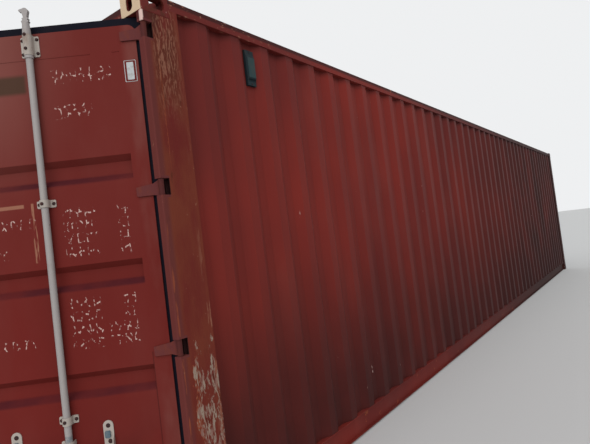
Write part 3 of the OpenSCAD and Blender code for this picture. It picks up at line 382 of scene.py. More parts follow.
class Finish:
    """A procedural material, built up step by step: tone is its colour so far. Its place, x, y and z are
    the object's own, or where side names a leaf, that leaf's: depth, distance from the pins, height."""

    def __init__(self, name, tone, roughness, specular, side=None):
        self.material = bpy.data.materials.new(name)
        self.material.use_nodes = True
        self.tree = self.material.node_tree
        self.shader = self.tree.nodes["Principled BSDF"]
        self.shader.inputs["Roughness"].default_value = roughness
        self.shader.inputs["Specular IOR Level"].default_value = specular
        self.tone = tone
        self.place = self.tree.nodes.new("ShaderNodeTexCoord").outputs["Object"]
        if side:
            self.place = self.mapped(vector_type="TEXTURE", **LEAF_PLACES[side])
        split = self.tree.nodes.new("ShaderNodeSeparateXYZ")
        self.tree.links.new(self.place, split.inputs[0])
        self.x, self.y, self.z = split.outputs

    def add(self, kind, feeds, result=0, **choices):
        """One output of a new node of this material."""
        return add_node(self.tree, kind, feeds, result, **choices)

    def mapped(self, place=None, vector_type="POINT", **feeds):
        """Coordinates scaled, turned and moved; the TEXTURE type does the reverse."""
        feeds["Vector"] = place or self.place
        return self.add("ShaderNodeMapping", feeds, vector_type=vector_type)

    def noise(self, size, stretch=(1, 1, 1), detail=4.0, rough=0.6, offset=(0, 0, 0), place=None):
        """Noise whose features are about size metres across, stretched along the axes."""
        scale = tuple(1 / (size * x) for x in stretch)
        vector = self.mapped(place, Scale=scale, Location=offset)
        feeds = {"Vector": vector, "Scale": 1.0, "Detail": detail, "Roughness": rough}
        return self.add("ShaderNodeTexNoise", feeds)

    def wavy(self, size, reach):
        """The place, wandering by up to half of reach over about size metres."""
        vector = self.mapped(Scale=(1 / size, 1 / size, 0.5 / size))
        wander = self.add("ShaderNodeTexNoise", {"Vector": vector, "Scale": 1.0}, result=1)
        centred = self.add("ShaderNodeVectorMath", {0: wander, 1: (0.5, 0.5, 0.5)}, operation="SUBTRACT")
        bend = self.add("ShaderNodeVectorMath", {0: centred, "Scale": reach}, operation="SCALE")
        return self.add("ShaderNodeVectorMath", {0: self.place, 1: bend}, operation="ADD")

    def calc(self, operation, a, b=0.0):
        """One sum of two sockets or numbers."""
        return self.add("ShaderNodeMath", {0: a, 1: b}, operation=operation)

    def times(self, product, *shares):
        """Product of sockets and numbers."""
        for share in shares:
            product = self.calc("MULTIPLY", product, share)
        return product

    def step(self, value, low, high):
        """0 below low, 1 above high, smooth between; low above high turns it round."""
        feeds = {"Value": value, "From Min": low, "From Max": high}
        return self.add("ShaderNodeMapRange", feeds, interpolation_type="SMOOTHSTEP")

    def inside(self, value, low, high, soft):
        """1 between low and high, fading out over soft."""
        rise = self.step(value, low - soft, low + soft)
        return self.times(rise, self.step(value, high + soft, high - soft))

    def patch(self, rectangle, soft):
        """1 inside a rectangle of a leaf, given by its near edge, far edge, bottom and top."""
        near, far, bottom, top = rectangle
        return self.times(self.inside(self.y, near, far, soft), self.inside(self.z, bottom, top, soft))

    def cover(self, tone, paint, *shares):
        """Colour of a paint over a tone, by the product of shares."""
        feeds = {"Factor": self.times(*shares)}
        for key, value in ((6, tone), (7, paint)):
            feeds[key] = value if isinstance(value, bpy.types.NodeSocket) else (*value, 1.0)
        return self.add("ShaderNodeMix", feeds, result=2, data_type="RGBA")

    def lay(self, paint, *shares):
        """Lays a paint over the tone, by the product of shares."""
        self.tone = self.cover(self.tone, paint, *shares)

    def spots(self, paint, size, low, high, share=1.0, stretch=(1, 1, 1.5), offset=(0, 0, 0)):
        """Lays a paint in ragged spots where noise comes over a level, and returns the noise."""
        level = self.noise(size, stretch, detail=7, rough=0.68, offset=offset)
        self.lay(paint, self.step(level, low, high), share)
        return level

    def end(self, height, strength, distance):
        """Wires tone and bump into the shader and returns the material."""
        self.tree.links.new(self.tone, self.shader.inputs["Base Color"])
        bump = self.add("ShaderNodeBump", {"Height": height, "Strength": strength, "Distance": distance})
        self.tree.links.new(bump, self.shader.inputs["Normal"])
        return self.material


def faded_paint(name, paints, base, roughness, specular, haze_share, streak_share=0.3, side=None):
    """Old paint, as the ground of other finishes: broad clouds between a darker and a lighter tone, fine
    upright runs, and a chalky bloom over them."""
    f = Finish(name, paints.wall_dark, roughness, specular, side)
    f.lay(base, f.step(f.noise(1.4, (1, 1, 1.6), detail=3), 0.35, 0.68))
    runs = f.step(f.noise(0.07, (1, 1, 22), detail=5), 0.42, 0.72)
    f.lay(paints.wall_dark, runs, streak_share)
    bloom = f.step(f.noise(0.5, (1, 1, 2.2), detail=6, offset=(3.1, 1.7, 0.4)), 0.48, 0.78)
    f.lay(paints.haze_and_glare, bloom, haze_share)
    return f


def rust_specks(f, paints, size, low, high, offset=(0, 0, 0)):
    """Lays small spots of rust with a lighter rim, and returns their noise."""
    level = f.spots(paints.rust_light, size, low - 0.025, low, offset=offset)
    f.lay(paints.rust, f.step(level, low, high))
    return level


def wall_finish(name, paints):
    """Maroon wall paint that darkens with grime low down and with painted shade towards the far end, with a
    few scratches and rust spots, and a painted shadow line under the top rail."""
    f = faded_paint(name, paints, paints.wall, roughness=0.6, specular=0.12, haze_share=0.12)
    cloud = f.step(f.noise(0.6, (1, 1, 2), detail=5), 0.2, 0.65)
    patchy = f.calc("ADD", f.times(cloud, 0.4), 0.6)
    # Painted shade darkening towards the far end, full on the side walls and weaker on the front wall
    side_wall = f.calc("ADD", f.times(f.step(f.x, *SIDE_WALL_END), 0.6), 0.4)
    f.lay(paints.shade_film, f.step(f.x, *FAR_SHADE_REACH), side_wall, patchy)
    f.lay(paints.grime_and_shade, f.step(f.z, *WALL_GRIME), 0.85, patchy)
    # Painted shadow line under the top rail
    f.lay(paints.grime_and_shade, f.step(f.z, *UNDER_RAIL_SHADE), 0.45)
    rust_specks(f, paints, size=0.11, low=0.75, high=0.78)
    scratch = f.step(f.noise(0.02, (1, 1, 5), detail=3, offset=(7, 0, 2)), 0.72, 0.76)
    where = f.step(f.noise(0.9, detail=2, offset=(0, 5, 0)), 0.6, 0.68)
    f.lay(paints.marks, scratch, where)
    dents = f.noise(0.28, (1, 1, 1.8), detail=2)
    return f.end(dents, strength=0.25, distance=0.012)


def frame_finish(name, paints):
    """Maroon paint of rails and beams: grimy along the top, with beige and rusty patches towards the door
    end and painted shade towards the far end."""
    f = faded_paint(name, paints, paints.wall, roughness=0.65, specular=0.14, haze_share=0.15)
    f.lay(paints.grime_and_shade, f.step(f.z, *RAIL_TOP), 0.8)
    near = f.times(f.step(f.x, *DOOR_END_REACH), 0.8)
    f.spots(paints.streak, 0.035, 0.585, 0.62, near, stretch=(1.3, 1, 0.9), offset=(1, 2, 3))
    # Painted shade darkening towards the far end
    f.lay(paints.shade_film, f.step(f.x, *FAR_SHADE_REACH))
    level = rust_specks(f, paints, size=0.1, low=0.68, high=0.73, offset=(4, 0, 1))
    return f.end(level, strength=0.25, distance=0.004)


def lit_worn_corner(f, front_x):
    """1 on the outer strip of a front face at front_x, between the top hinge and the casting, where pale
    paint is partly wear and partly a painted highlight of the sunlit face.
    """
    front = f.step(f.x, front_x + 0.012, front_x + 0.006)
    outer = f.step(f.calc("ABSOLUTE", f.y), SIDE_Y - 0.026, SIDE_Y - 0.02)
    return f.times(front, outer, f.step(f.z, *POST_LIT_WORN_TOP))


def post_finish(name, paints):
    """Orange-brown post paint: curly beige runs over the upper part with one long rust line, a quiet
    maroon-grey front strip with a thin orange line, painted shade at the top under the casting, chips and a
    pale back edge halfway, bare patches low down, painted shade in the hollows behind the hinges, and a pale
    strip under the casting that is partly worn and partly a painted highlight."""
    f = Finish(name, paints.wall_dark, 0.7, specular=0.1)

    # 0 at a post's front and 1 at its back
    across = f.calc("DIVIDE", f.calc("SUBTRACT", f.x, POST_FRONT), POST_BACK - POST_FRONT)
    wavy = f.wavy(0.04, reach=0.03)
    runs = f.noise(0.009, (1, 1, 7), detail=6, place=wavy)
    fine = f.noise(0.02, (1, 1, 9), detail=5, rough=0.65, offset=(3, 1, 6))
    clouds = f.step(f.noise(0.2, (1, 1, 2.5), detail=6), 0.32, 0.68)
    f.lay(paints.post, clouds)

    # Upper part: runs and the rust line
    middle = f.times(f.step(across, 0.12, 0.35), f.step(across, 1.0, 0.72))
    upper = f.times(f.step(f.z, *POST_RUNS), middle)
    f.lay(paints.rust, upper, f.step(clouds, 0.0, 0.8), 0.75)
    f.lay(paints.streak, f.step(runs, 0.49, 0.57), upper, 0.62)
    line = f.inside(f.calc("ADD", across, f.times(runs, 0.12)), 0.395, 0.405, 0.012)
    f.lay(paints.rust_light, line, f.inside(f.z, *POST_RUST_LINE, 0.1), 0.6)

    # Front strip, orange line, chips and pale back edge
    f.lay(paints.post_edge, f.step(across, 0.22, 0.1), 0.8)
    orange = f.times(f.inside(across, 0.03, 0.075, 0.02), f.step(f.z, *POST_ORANGE_LINE))
    f.lay(paints.rust_light, orange, f.step(fine, 0.47, 0.58), 0.6)
    chips = f.step(f.noise(0.028, (1, 1, 1.8), detail=6, rough=0.7, offset=(4, 4, 4)), 0.66, 0.7)
    f.lay(paints.streak, chips, 0.5)
    back = f.times(f.step(across, 0.78, 0.95), f.step(fine, 0.52, 0.62))
    f.lay(paints.streak, back, f.calc("ADD", f.step(f.z, *POST_BACK_EDGE), 0.3), 0.5)

    # Bare patches low down, with rusty rims and pits
    patches = f.noise(0.06, (1, 1, 3), detail=9, rough=0.66, offset=(0.5, 0.2, 0.9), place=wavy)
    low_part = f.times(f.step(f.z, *POST_BARE), f.step(across, 0.0, 0.45))
    ragged = f.calc("ADD", patches, f.times(f.calc("SUBTRACT", low_part, 1.0), 0.25))
    f.lay(paints.rust_light, f.step(ragged, 0.455, 0.475), f.step(across, 0.55, 0.15), 0.8)
    holes = f.noise(0.016, (1, 1, 4), detail=7, rough=0.72, offset=(2, 2, 2))
    bare = f.times(f.step(ragged, 0.475, 0.505), f.step(holes, 0.54, 0.47))
    layers = f.step(f.noise(0.022, (1, 1, 4), detail=6, offset=(6, 3, 2), place=wavy), 0.42, 0.6)
    f.lay(f.cover(paints.bare, paints.haze_and_glare, layers, 0.7), bare)
    f.lay(paints.rust, f.step(holes, 0.57, 0.62), f.step(ragged, 0.45, 0.48))
    f.spots(paints.rust, 0.05, 0.62, 0.7, 0.6, stretch=(1, 1, 4), offset=(9, 1, 4))

    # Painted shade in the hollows behind the hinges and at the top under the casting; a worn strip under the
    # casting, partly a painted highlight
    # Painted shade: the hollows behind the hinges darkened with the bolt colour
    count = f.calc("DIVIDE", f.calc("SUBTRACT", f.z, LUG_LOW), CUT_STEP)
    level = f.inside(f.calc("FRACT", count), 0.0, 2 * CUT_HALF / CUT_STEP, 0.003)
    depth = f.step(f.calc("ABSOLUTE", f.y), SIDE_Y - 0.0035, SIDE_Y - 0.0055)
    reach = f.inside(f.x, POST_FRONT + 0.006, POST_FRONT + CUT_DEEP + 0.03, 0.002)
    f.lay(paints.bolt, level, depth, reach, 0.9)
    # Painted shade at the post's top under the casting
    f.lay(paints.grime_and_shade, f.step(f.z, *POST_SHADE_TOP), f.step(across, 0.55, 0.3), 0.5)
    # Pale strip under the casting: partly worn paint, partly a painted highlight of the sunlit front face
    f.lay(paints.marks, lit_worn_corner(f, POST_FRONT), f.step(fine, 0.3, 0.4))
    return f.end(f.calc("ADD", f.times(bare, -0.4), runs), strength=0.4, distance=0.004)


def casting_finish(name, paints):
    """Cast corner paint: maroon sides with pale chips, painted shade towards the far end, and a chalky worn
    face at the door end that is partly a painted highlight of the sunlit side.
    """
    f = faded_paint(name, paints, paints.wall_dark, roughness=0.65, specular=0.14, haze_share=0.15)
    # Painted shade darkening towards the far end
    f.lay(paints.shade_film, f.step(f.x, *FAR_SHADE_REACH))
    f.spots(paints.marks, 0.03, 0.64, 0.67, 0.9)
    level = f.spots(paints.rust, 0.06, 0.5, 0.62, 0.8, offset=(2, 1, 0))
    # The door end face turns chalky: partly worn paint, partly a painted highlight of the sunlit face
    worn = f.step(f.calc("ADD", f.x, f.times(level, 0.006)), END_X + 0.008, END_X + 0.004)
    ragged = f.noise(0.05, (1, 1, 1.5), detail=7, rough=0.68, offset=(5, 3, 1))
    f.lay(f.cover(paints.sunlit_chalk, paints.streak, f.step(ragged, 0.55, 0.75), 0.6), worn)
    return f.end(level, strength=0.3, distance=0.004)


def worn_marks(f):
    """Share of pale paint left in rows of old marks: short flecks that spell nothing, on the borders of
    small cells, with bare gaps at even steps along each row."""
    cells = {"X": f.calc("DIVIDE", f.y, MARK_CELL[0]), "Y": f.calc("DIVIDE", f.z, MARK_CELL[1])}
    border = f.add(
        "ShaderNodeTexVoronoi",
        {"Vector": f.add("ShaderNodeCombineXYZ", cells), "Scale": 1.0, "Randomness": 0.9},
        feature="DISTANCE_TO_EDGE", voronoi_dimensions="2D",
    )
    stroke = f.step(border, 0.09, 0.06)
    wear = f.step(f.noise(0.012, (1, 1, 1.2), detail=5, offset=(2, 7, 4)), 0.48, 0.55)
    along = f.calc("FRACT", f.calc("DIVIDE", f.y, MARK_STEP))
    rows = f.patch(MARK_ROWS[0], 0.003)
    for rectangle in MARK_ROWS[1:]:
        rows = f.calc("MAXIMUM", rows, f.patch(rectangle, 0.003))
    return f.times(stroke, wear, f.inside(along, 0.12, 0.84, 0.05), rows)


def door_finish(name, paints, side):
    """Maroon door paint in the leaf's own frame: painted glare high up away from the hinges, bloom along the
    hinge edge, brown touch-up, painted shade on the recesses' lower slopes, flecks of old marks, a stripe and
    runs."""
    f = faded_paint(
        name, paints, paints.door, 0.7, specular=0.06, haze_share=0.12, streak_share=0.25, side=side
    )
    # Painted glare: the haze colour laid high up away from the hinges stands for light, joined with the real
    # bloom along the hinge edge and a faint veil
    high = f.times(f.step(f.z, *GLARE_UP), f.step(f.y, *GLARE_ALONG), 0.75)
    clouds = f.step(f.noise(0.25, (1, 1, 3)), 0.35, 0.65)
    hinge_edge = f.times(f.step(f.y, *HINGE_BLOOM), clouds, 0.45)
    veil = f.times(f.step(f.z, *VEIL_UP), 0.06)
    f.lay(paints.haze_and_glare, f.calc("MAXIMUM", f.calc("MAXIMUM", high, hinge_edge), veil))
    # Painted shade on the recesses' lower slopes; the share named dirt below is its cloudy strength
    dirt = f.times(f.step(f.noise(0.4), 0.3, 0.7), 0.5)
    dirt = f.calc("ADD", dirt, 0.35)
    for middle in RECESSES:
        slope = (PANEL_NEAR, PANEL_FAR, middle - SLOPE_LOW, middle - SLOPE_HIGH)
        f.lay(paints.shade, f.patch(slope, 0.008), dirt)
    f.lay(paints.grime_and_shade, f.patch(PANEL_SEAM, 0.002), 0.5)
    f.lay(paints.grime_and_shade, f.step(f.z, *LEAF_DIRT), f.step(f.noise(0.3), 0.3, 0.6), 0.4)
    if side == "right":
        outside = f.step(f.x, LEAF_FACE + 0.0015, LEAF_FACE + 0.0008)
        f.lay(paints.touch_up, f.patch(TOUCH_UP, 0.014), outside, 0.85)
        f.lay(paints.marks, worn_marks(f), outside, 0.72)
        wet = f.step(f.noise(0.009, (1, 1, 12), detail=2), 0.47, 0.55)
        runs = f.calc("MAXIMUM", f.patch(STRIPE, 0.003), f.times(f.patch(DRIPS, 0.004), wet))
        f.lay(paints.streak, runs, outside, 0.9)
    f.spots(paints.grime_and_shade, 0.05, 0.72, 0.76, 0.6, offset=(6, 2, 8))
    return f.end(f.noise(0.25, detail=2), strength=0.2, distance=0.01)


def hinge_finish(name, paints, side=None):
    """Maroon-grey paint of the hinges with brown clouds and painted shade in the corners by the knuckles;
    side names the leaf whose blades it is for, and without it the paint is for the posts' lugs, whose top
    front is chalky, partly worn and partly a painted highlight."""
    f = Finish(name, paints.post_edge, 0.65, specular=0.1, side=side)
    level = f.spots(paints.post, 0.05, 0.45, 0.7, 0.5)
    if side:
        # Painted shade in the corners by the knuckles
        f.lay(paints.grime_and_shade, f.step(f.y, 0.03, 0.012), 0.45)
    else:
        # Pale top front of the lugs: partly worn paint, partly a painted highlight of the sunlit face
        f.lay(paints.marks, lit_worn_corner(f, END_X))
    return f.end(level, strength=0.2, distance=0.003)


def hardware_finish(name, paints, base, stain_share, patch_share=0.0):
    """Pale grey rods and fittings with upright runs, brown stains and dark chips; patch_share gives the
    rods a patch of the latch colour by the handles."""
    f = Finish(name, base, 0.55, specular=0.3)
    f.lay(paints.cream, f.step(f.noise(0.012, (1, 1, 14)), 0.4, 0.75), 0.3)
    stains = f.step(f.noise(0.07, (1, 1, 2.5), detail=6, offset=(1, 4, 2)), 0.52, 0.75)
    f.lay(paints.stain, stains, stain_share)
    level = f.noise(0.016, (1, 1, 1.4), detail=6, rough=0.7, offset=(8, 8, 1))
    f.lay(paints.rust, f.step(level, 0.66, 0.7))
    if patch_share:
        f.lay(paints.latch, f.inside(f.z, *HANDLE_PATCH, 0.006), f.step(level, 0.4, 0.5), patch_share)
    return f.end(level, strength=0.2, distance=0.002)


def vent_finish(name, paints):
    """Dark green moulded vents with clouds of dust, and painted shade along the side towards the doors and at
    both sloping ends."""
    f = Finish(name, paints.vent, 0.55, specular=0.1)
    low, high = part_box("vents")
    cloud = f.noise(0.05, (1, 1, 2), detail=6)
    f.lay(paints.dirt, f.step(cloud, 0.4, 0.75), 0.25)
    # Painted shade on the side towards the doors and on both sloping ends, in the rubber colour
    side = f.step(f.x, low.x + 0.012, low.x + 0.006)
    lower_end = f.step(f.z, low.z + 0.052, low.z + 0.048)
    upper_end = f.step(f.z, high.z - 0.052, high.z - 0.048)
    f.lay(paints.rubber, f.calc("MAXIMUM", side, f.calc("MAXIMUM", lower_end, upper_end)), 0.6)
    return f.end(cloud, strength=0.15, distance=0.002)


def plain_finish(name, base, dust, roughness, size, share, specular=0.2):
    """One colour with a veil of dust in clouds about size metres across."""
    f = Finish(name, base, roughness, specular)
    cloud = f.noise(size, detail=6)
    f.lay(dust, f.step(cloud, 0.4, 0.75), share)
    return f.end(cloud, strength=0.15, distance=0.002)


def roof_finish(name, paints):
    """Roof paint, sunburnt, with pools of rust."""
    f = faded_paint(name, paints, paints.wall, roughness=0.7, specular=0.35, haze_share=0.6)
    pools = f.noise(0.4, (1.6, 1, 1), detail=8, rough=0.65)
    f.lay(paints.rust_light, f.step(pools, 0.6, 0.66))
    f.lay(paints.rust, f.step(pools, 0.66, 0.72))
    return f.end(pools, strength=0.2, distance=0.005)


def floor_finish(name, paints):
    """Plywood boards: joints across at every board's length, grain along the container."""
    f = Finish(name, paints.dirt, 0.65, specular=0.35)
    grain = f.noise(0.02, (30, 1, 1), detail=6)
    f.lay(paints.wood, f.step(grain, 0.35, 0.7))
    seam = f.step(f.calc("FRACT", f.calc("DIVIDE", f.x, BOARD)), 0.004, 0.002)
    f.lay(paints.rubber, seam)
    return f.end(f.calc("SUBTRACT", grain, seam), strength=0.2, distance=0.003)


def settings():
    """The paints, fixings and stage that the scene holds."""
    scene = bpy.context.scene
    return scene.container_paints, scene.container_fixings, scene.container_stage


def paint_nodes(material, slot, *names):
    """Gives CAD nodes a finish in place of the imported one."""
    for name in names:
        node = frame["nodes"][name]
        node.data.materials.clear()
        node.data.materials.append(material)


class CONTAINER_OT_paint_walls(bpy.types.Operator):
    """Paints the walls, the roof, the rails and the underside"""

    bl_idname = "container.paint_walls"
    bl_label = "Paint walls and roof"

    def execute(self, context):
        paints = settings()[0]
        paint_nodes(
            wall_finish("wall_paint", paints), "wall_paint",
            "side_wall_right", "side_wall_left", "front_wall",
        )
        paint_nodes(
            frame_finish("frame_paint", paints), "frame_paint",
            "top_rails", "bottom_rails", "door_header", "front_header", "front_sill", "front_posts",
        )
        paint_nodes(roof_finish("roof_paint", paints), "roof_paint", "roof_panel", "roof_plates")
        underside = plain_finish(
            "underside_paint", paints.wall_dark, paints.dirt, roughness=0.8, size=0.3, share=0.8
        )
        paint_nodes(underside, "underside_paint", "crossmembers", "gooseneck_tunnel")
        paint_nodes(floor_finish("floor_wood", paints), "floor_wood", "floor_boards")
        centre_rail = plain_finish(
            "centre_rail_paint", paints.wall_dark, paints.dirt, roughness=0.7, size=0.1, share=0.6
        )
        paint_nodes(centre_rail, "underside_paint", "floor_centre_rail")
        return {"FINISHED"}


class CONTAINER_OT_paint_corners(bpy.types.Operator):
    """Paints the posts, the sill and the corner castings"""

    bl_idname = "container.paint_corners"
    bl_label = "Paint posts and castings"

    def execute(self, context):
        paints = settings()[0]
        paint_nodes(post_finish("post_paint", paints), "post_paint", "door_posts", "door_sill")
        paint_nodes(hinge_finish("lug_paint", paints), "post_paint", "hinge_lugs")
        paint_nodes(
            casting_finish("casting_paint", paints), "casting_paint",
            "castings_door_low", "castings_door_top", "castings_front_low", "castings_front_top",
        )
        return {"FINISHED"}


class CONTAINER_OT_paint_doors(bpy.types.Operator):
    """Paints both leaves and colours their seals"""

    bl_idname = "container.paint_doors"
    bl_label = "Paint doors"

    def execute(self, context):
        paints = settings()[0]
        rubber = plain_finish(
            "seal_rubber", paints.rubber, paints.dirt, roughness=0.75, size=0.12, share=0.05, specular=0.06
        )
        for side in BODIES:
            paint = door_finish(f"door_paint_{side}", paints, side)
            paint_nodes(paint, "door_paint", f"door_{side}_frame", f"door_{side}_panel")
            hinge_paint = hinge_finish(f"hinge_paint_{side}", paints, side)
            paint_nodes(hinge_paint, "door_paint", f"door_{side}_hinges")
            paint_nodes(rubber, "seal_rubber", f"door_{side}_seal")
        return {"FINISHED"}


class CONTAINER_OT_paint_hardware(bpy.types.Operator):
    """Colours rods, handles, brackets, catches, keepers and vents"""

    bl_idname = "container.paint_hardware"
    bl_label = "Colour lock gear and vents"

    def execute(self, context):
        paints = settings()[0]
        rods = hardware_finish("rod_zinc", paints, paints.hardware, stain_share=0.25, patch_share=0.6)
        cream = hardware_finish("bracket_cream", paints, paints.cream, stain_share=0.6)
        for side in BODIES:
            for place in RODS:
                paint_nodes(rods, "hardware_paint", f"rod_{side}_{place}", f"handle_{side}_{place}")
            paint_nodes(cream, "hardware_paint", f"door_{side}_brackets", f"door_{side}_catches")
        paint_nodes(cream, "hardware_paint", "cam_keepers")
        paint_nodes(vent_finish("vent_plastic", paints), "vent_plastic", "vents")
        return {"FINISHED"}


def strap_bolts(fixings):
    """Centres and outward axes, in the leaf's frame, of the bolts of all rod brackets on one leaf: one
    on each foot and one on the housing's far side, in two rows on an end bracket; the hub's bracket has
    one foot, away from the hinges."""
    both_feet = (-1, 1)
    rows = [(height, 0.0, both_feet) for height in (fixings.bracket_high, fixings.bracket_middle)]
    rows.append((fixings.bracket_hub, 0.0, (1,)))
    middle = LEAF_HIGH.z - fixings.end_inset - fixings.end_bracket / 2
    for row in (-1, 1):
        height = middle + row * (fixings.end_bracket / 2 - fixings.end_bolt)
        rows.append((height, fixings.end_rise, both_feet))
        rows.append((2 * DOOR_MIDDLE - height, -fixings.end_rise, both_feet))
    foot = LEAF_FACE - fixings.strap_wall
    reach = (fixings.bracket_half + fixings.strap_radius) / 2 + fixings.foot_bolt
    slant = (-cos(fixings.bolt_lean), sin(fixings.bolt_lean), 0.0)
    centres, axes = [], []
    for along in RODS.values():
        for height, rise, sides in rows:
            for side in sides:
                centres.append((foot, along + side * reach, height))
                axes.append((-1.0, 0.0, 0.0))
            depth = ROD_DEPTH + fixings.strap_radius * slant[0]
            centres.append((depth, along + fixings.strap_radius * slant[1], height + rise))
            axes.append(slant)
    return np.array(centres), np.array(axes)


def fit_knobs(name, profile, centres, outward, side, material):
    """Fits turned knobs on a leaf, with centres and outward axes in its own frame."""
    origin = leaf_to_frame([(0.0, 0.0, 0.0)], side)
    outward = leaf_to_frame(outward, side) - origin
    points, faces = turned_knobs(profile, leaf_to_frame(centres, side), outward)
    make_piece(name, points, faces, material, BODIES[side])


def dome(radius, height, sink=SINK):
    """Profile of a domed head: flat below, straight rim, then rounded to the axis. At turn t its rim is
    radius cos(t) wide and height (0.35 + 0.65 sin(t)) high."""
    bend = np.linspace(0, pi / 2, 5)
    rim = [(radius * cos(t), height * (0.35 + 0.65 * sin(t))) for t in bend[:-1]]
    return [(0, -sink), (radius, -sink), *rim, (0, height)]


class CONTAINER_OT_fit_bolts(bpy.types.Operator):
    """Adds the bolts of the rod brackets, the catches' rivets and the vents' screws"""

    bl_idname = "container.fit_bolts"
    bl_label = "Fit bolts, rivets and screws"

    def execute(self, context):
        paints, fixings, _ = settings()
        rusty = plain_finish("bolt_rust", paints.bolt, paints.rust_light, roughness=0.7, size=0.01, share=0.2)
        bolt = dome(fixings.bolt_radius, fixings.bolt_height)
        rivet = dome(fixings.rivet_radius, height=0.004, sink=2 * SINK)
        screw = dome(fixings.screw_radius, height=0.003)
        centres, axes = strap_bolts(fixings)
        heads = ((0.0, fixings.catch_rivet), (fixings.catch_aside, fixings.catch_bolt))
        rivets = [
            (LEAF_FACE - fixings.strap_wall, along - fixings.catch_offset - aside, height)
            for along in RODS.values() for aside, height in heads
        ]
        outward = [(-1.0, 0.0, 0.0)] * len(rivets)
        for side in BODIES:
            fit_knobs(f"bracket_bolts_{side}", bolt, centres, axes, side, rusty)
            fit_knobs(f"catch_rivets_{side}", rivet, rivets, outward, side, rusty)
        low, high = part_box("vents")
        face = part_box("side_wall_right")[0].y + fixings.vent_base
        heights = (low.z + fixings.vent_screw, high.z - fixings.vent_screw)
        screws = [((low.x + high.x) / 2, y * -face, z) for y in (-1, 1) for z in heights]
        outward = [(0.0, float(y), 0.0) for y in (-1, 1) for _ in heights]
        points, faces = turned_knobs(screw, screws, outward)
        make_piece("vent_screws", points, faces, rusty, "root")
        return {"FINISHED"}


def plate_piece(name, low, high, radius, side, material, steps=4):
    """A thin plate in the leaf's frame between two corners (depth, along, height). Its outline, at turn t
    its corner's centre + radius (cos(t), sin(t)), is drawn at both depths and closed by fans."""
    centre = (np.array(low) + np.array(high)) / 2
    half = (np.array(high) - np.array(low)) / 2
    turn = np.linspace(0, 2 * pi, 4 * steps, endpoint=False) + pi / (4 * steps)
    rim = np.column_stack([np.cos(turn), np.sin(turn)])
    outline = np.sign(rim) * (half[1:] - radius) + radius * rim
    outer, inner = (
        np.column_stack([np.full(len(outline), depth), centre[1:] + outline])
        for depth in (high[0], low[0])
    )
    points = np.concatenate([[(high[0], *centre[1:])], outer, inner, [(low[0], *centre[1:])]])
    make_piece(
        name, leaf_to_frame(points, side), grid_faces(2, len(outline)), material, BODIES[side],
        smooth=False, flip=side == "right",
    )


class CONTAINER_OT_fit_catch_tongues(bpy.types.Operator):
    """Adds the blue-grey tongues on the catches and the blank framed label on the right leaf"""

    bl_idname = "container.fit_catch_tongues"
    bl_label = "Fit catch tongues and label"

    def execute(self, context):
        paints, fixings, _ = settings()
        latch = hardware_finish("latch_paint", paints, paints.latch, stain_share=0.5)
        face = LEAF_FACE - fixings.strap_wall
        for side in BODIES:
            for place, along in RODS.items():
                middle = along - fixings.catch_offset + fixings.catch_aside
                low = (face - fixings.tongue_out, middle - fixings.tongue_half, fixings.tongue_low)
                high = (face + SINK, middle + fixings.tongue_half, fixings.tongue_high)
                name = f"catch_tongue_{side}_{place}"
                plate_piece(name, low, high, 0.006, side, latch)
        near, far, bottom, top = LABEL
        dull = {"roughness": 0.6, "size": 0.02, "share": 0.4, "specular": 0.06}
        blank = plain_finish("label_blank", paints.label, paints.stain, **dull)
        ground = plain_finish("label_ground", paints.wall_dark, paints.haze_and_glare, **dull)
        layers = (("frame", 0.0, blank), ("ground", 0.003, ground), ("face", 0.013, blank))
        for step, (name, margin, material) in enumerate(layers, 1):
            low = (LEAF_FACE - fixings.label_layer * step, near + margin, bottom + margin * 0.8)
            high = (LEAF_FACE + 0.0004, far - margin, top - margin * 0.8)
            plate_piece(f"label_{name}", low, high, 0.004, "right", material)
        return {"FINISHED"}


def casting_runs():
    """Runs of the weld beads where the castings and the side walls meet the door end posts."""
    wall_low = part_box("side_wall_right")[0]
    wall_foot, wall_top = wall_low.z + BEAD_GAP, RAIL_LOW - BEAD_GAP
    front = END_X + BEAD_SINK
    runs = []
    for y in (-1, 1):
        face = y * (SIDE_Y - BEAD_SINK)
        for z in (CASTING_TOP.z, TOP_Z - CASTING_TOP.z):
            runs.append(((END_X + BEAD_START, face, z), (CASTING_TOP.x, face, z)))
            runs.append(((front, face - y * 0.012, z), (front, y * (SIDE_Y - BEAD_END), z)))
        inner = y * (SIDE_Y - WALL_INSET)
        runs.append(((wall_low.x, inner, wall_foot), (wall_low.x, inner, wall_top)))
    return runs


def seam_runs(side):
    """Runs of the weld beads under and over a leaf's panel, the upper one with its gap."""
    seams = [(PANEL_NEAR, PANEL_FAR, PANEL_LOW.z)]
    seams += [(near, far, PANEL_HIGH.z) for near, far in UPPER_SEAMS]
    return [
        tuple(leaf_to_frame(((LEAF_FACE, near, z), (LEAF_FACE, far, z)), side))
        for near, far, z in seams
    ]


class CONTAINER_OT_lay_welds(bpy.types.Operator):
    """Lays the weld beads round the castings, along the posts and along the doors' seams"""

    bl_idname = "container.lay_welds"
    bl_label = "Lay weld beads"

    def execute(self, context):
        paints, fixings, _ = settings()
        paint = frame_finish("weld_paint", paints)
        points, faces = weld_beads(casting_runs(), fixings.bead_radius, fixings.bead_ripple)
        make_piece("corner_welds", points, faces, paint, "root")
        for side, body in BODIES.items():
            points, faces = weld_beads(seam_runs(side), fixings.bead_radius * 0.5, fixings.bead_ripple)
            seam_paint = bpy.data.materials[f"door_paint_{side}"]
            make_piece(f"door_seams_{side}", points, faces, seam_paint, body)
        return {"FINISHED"}


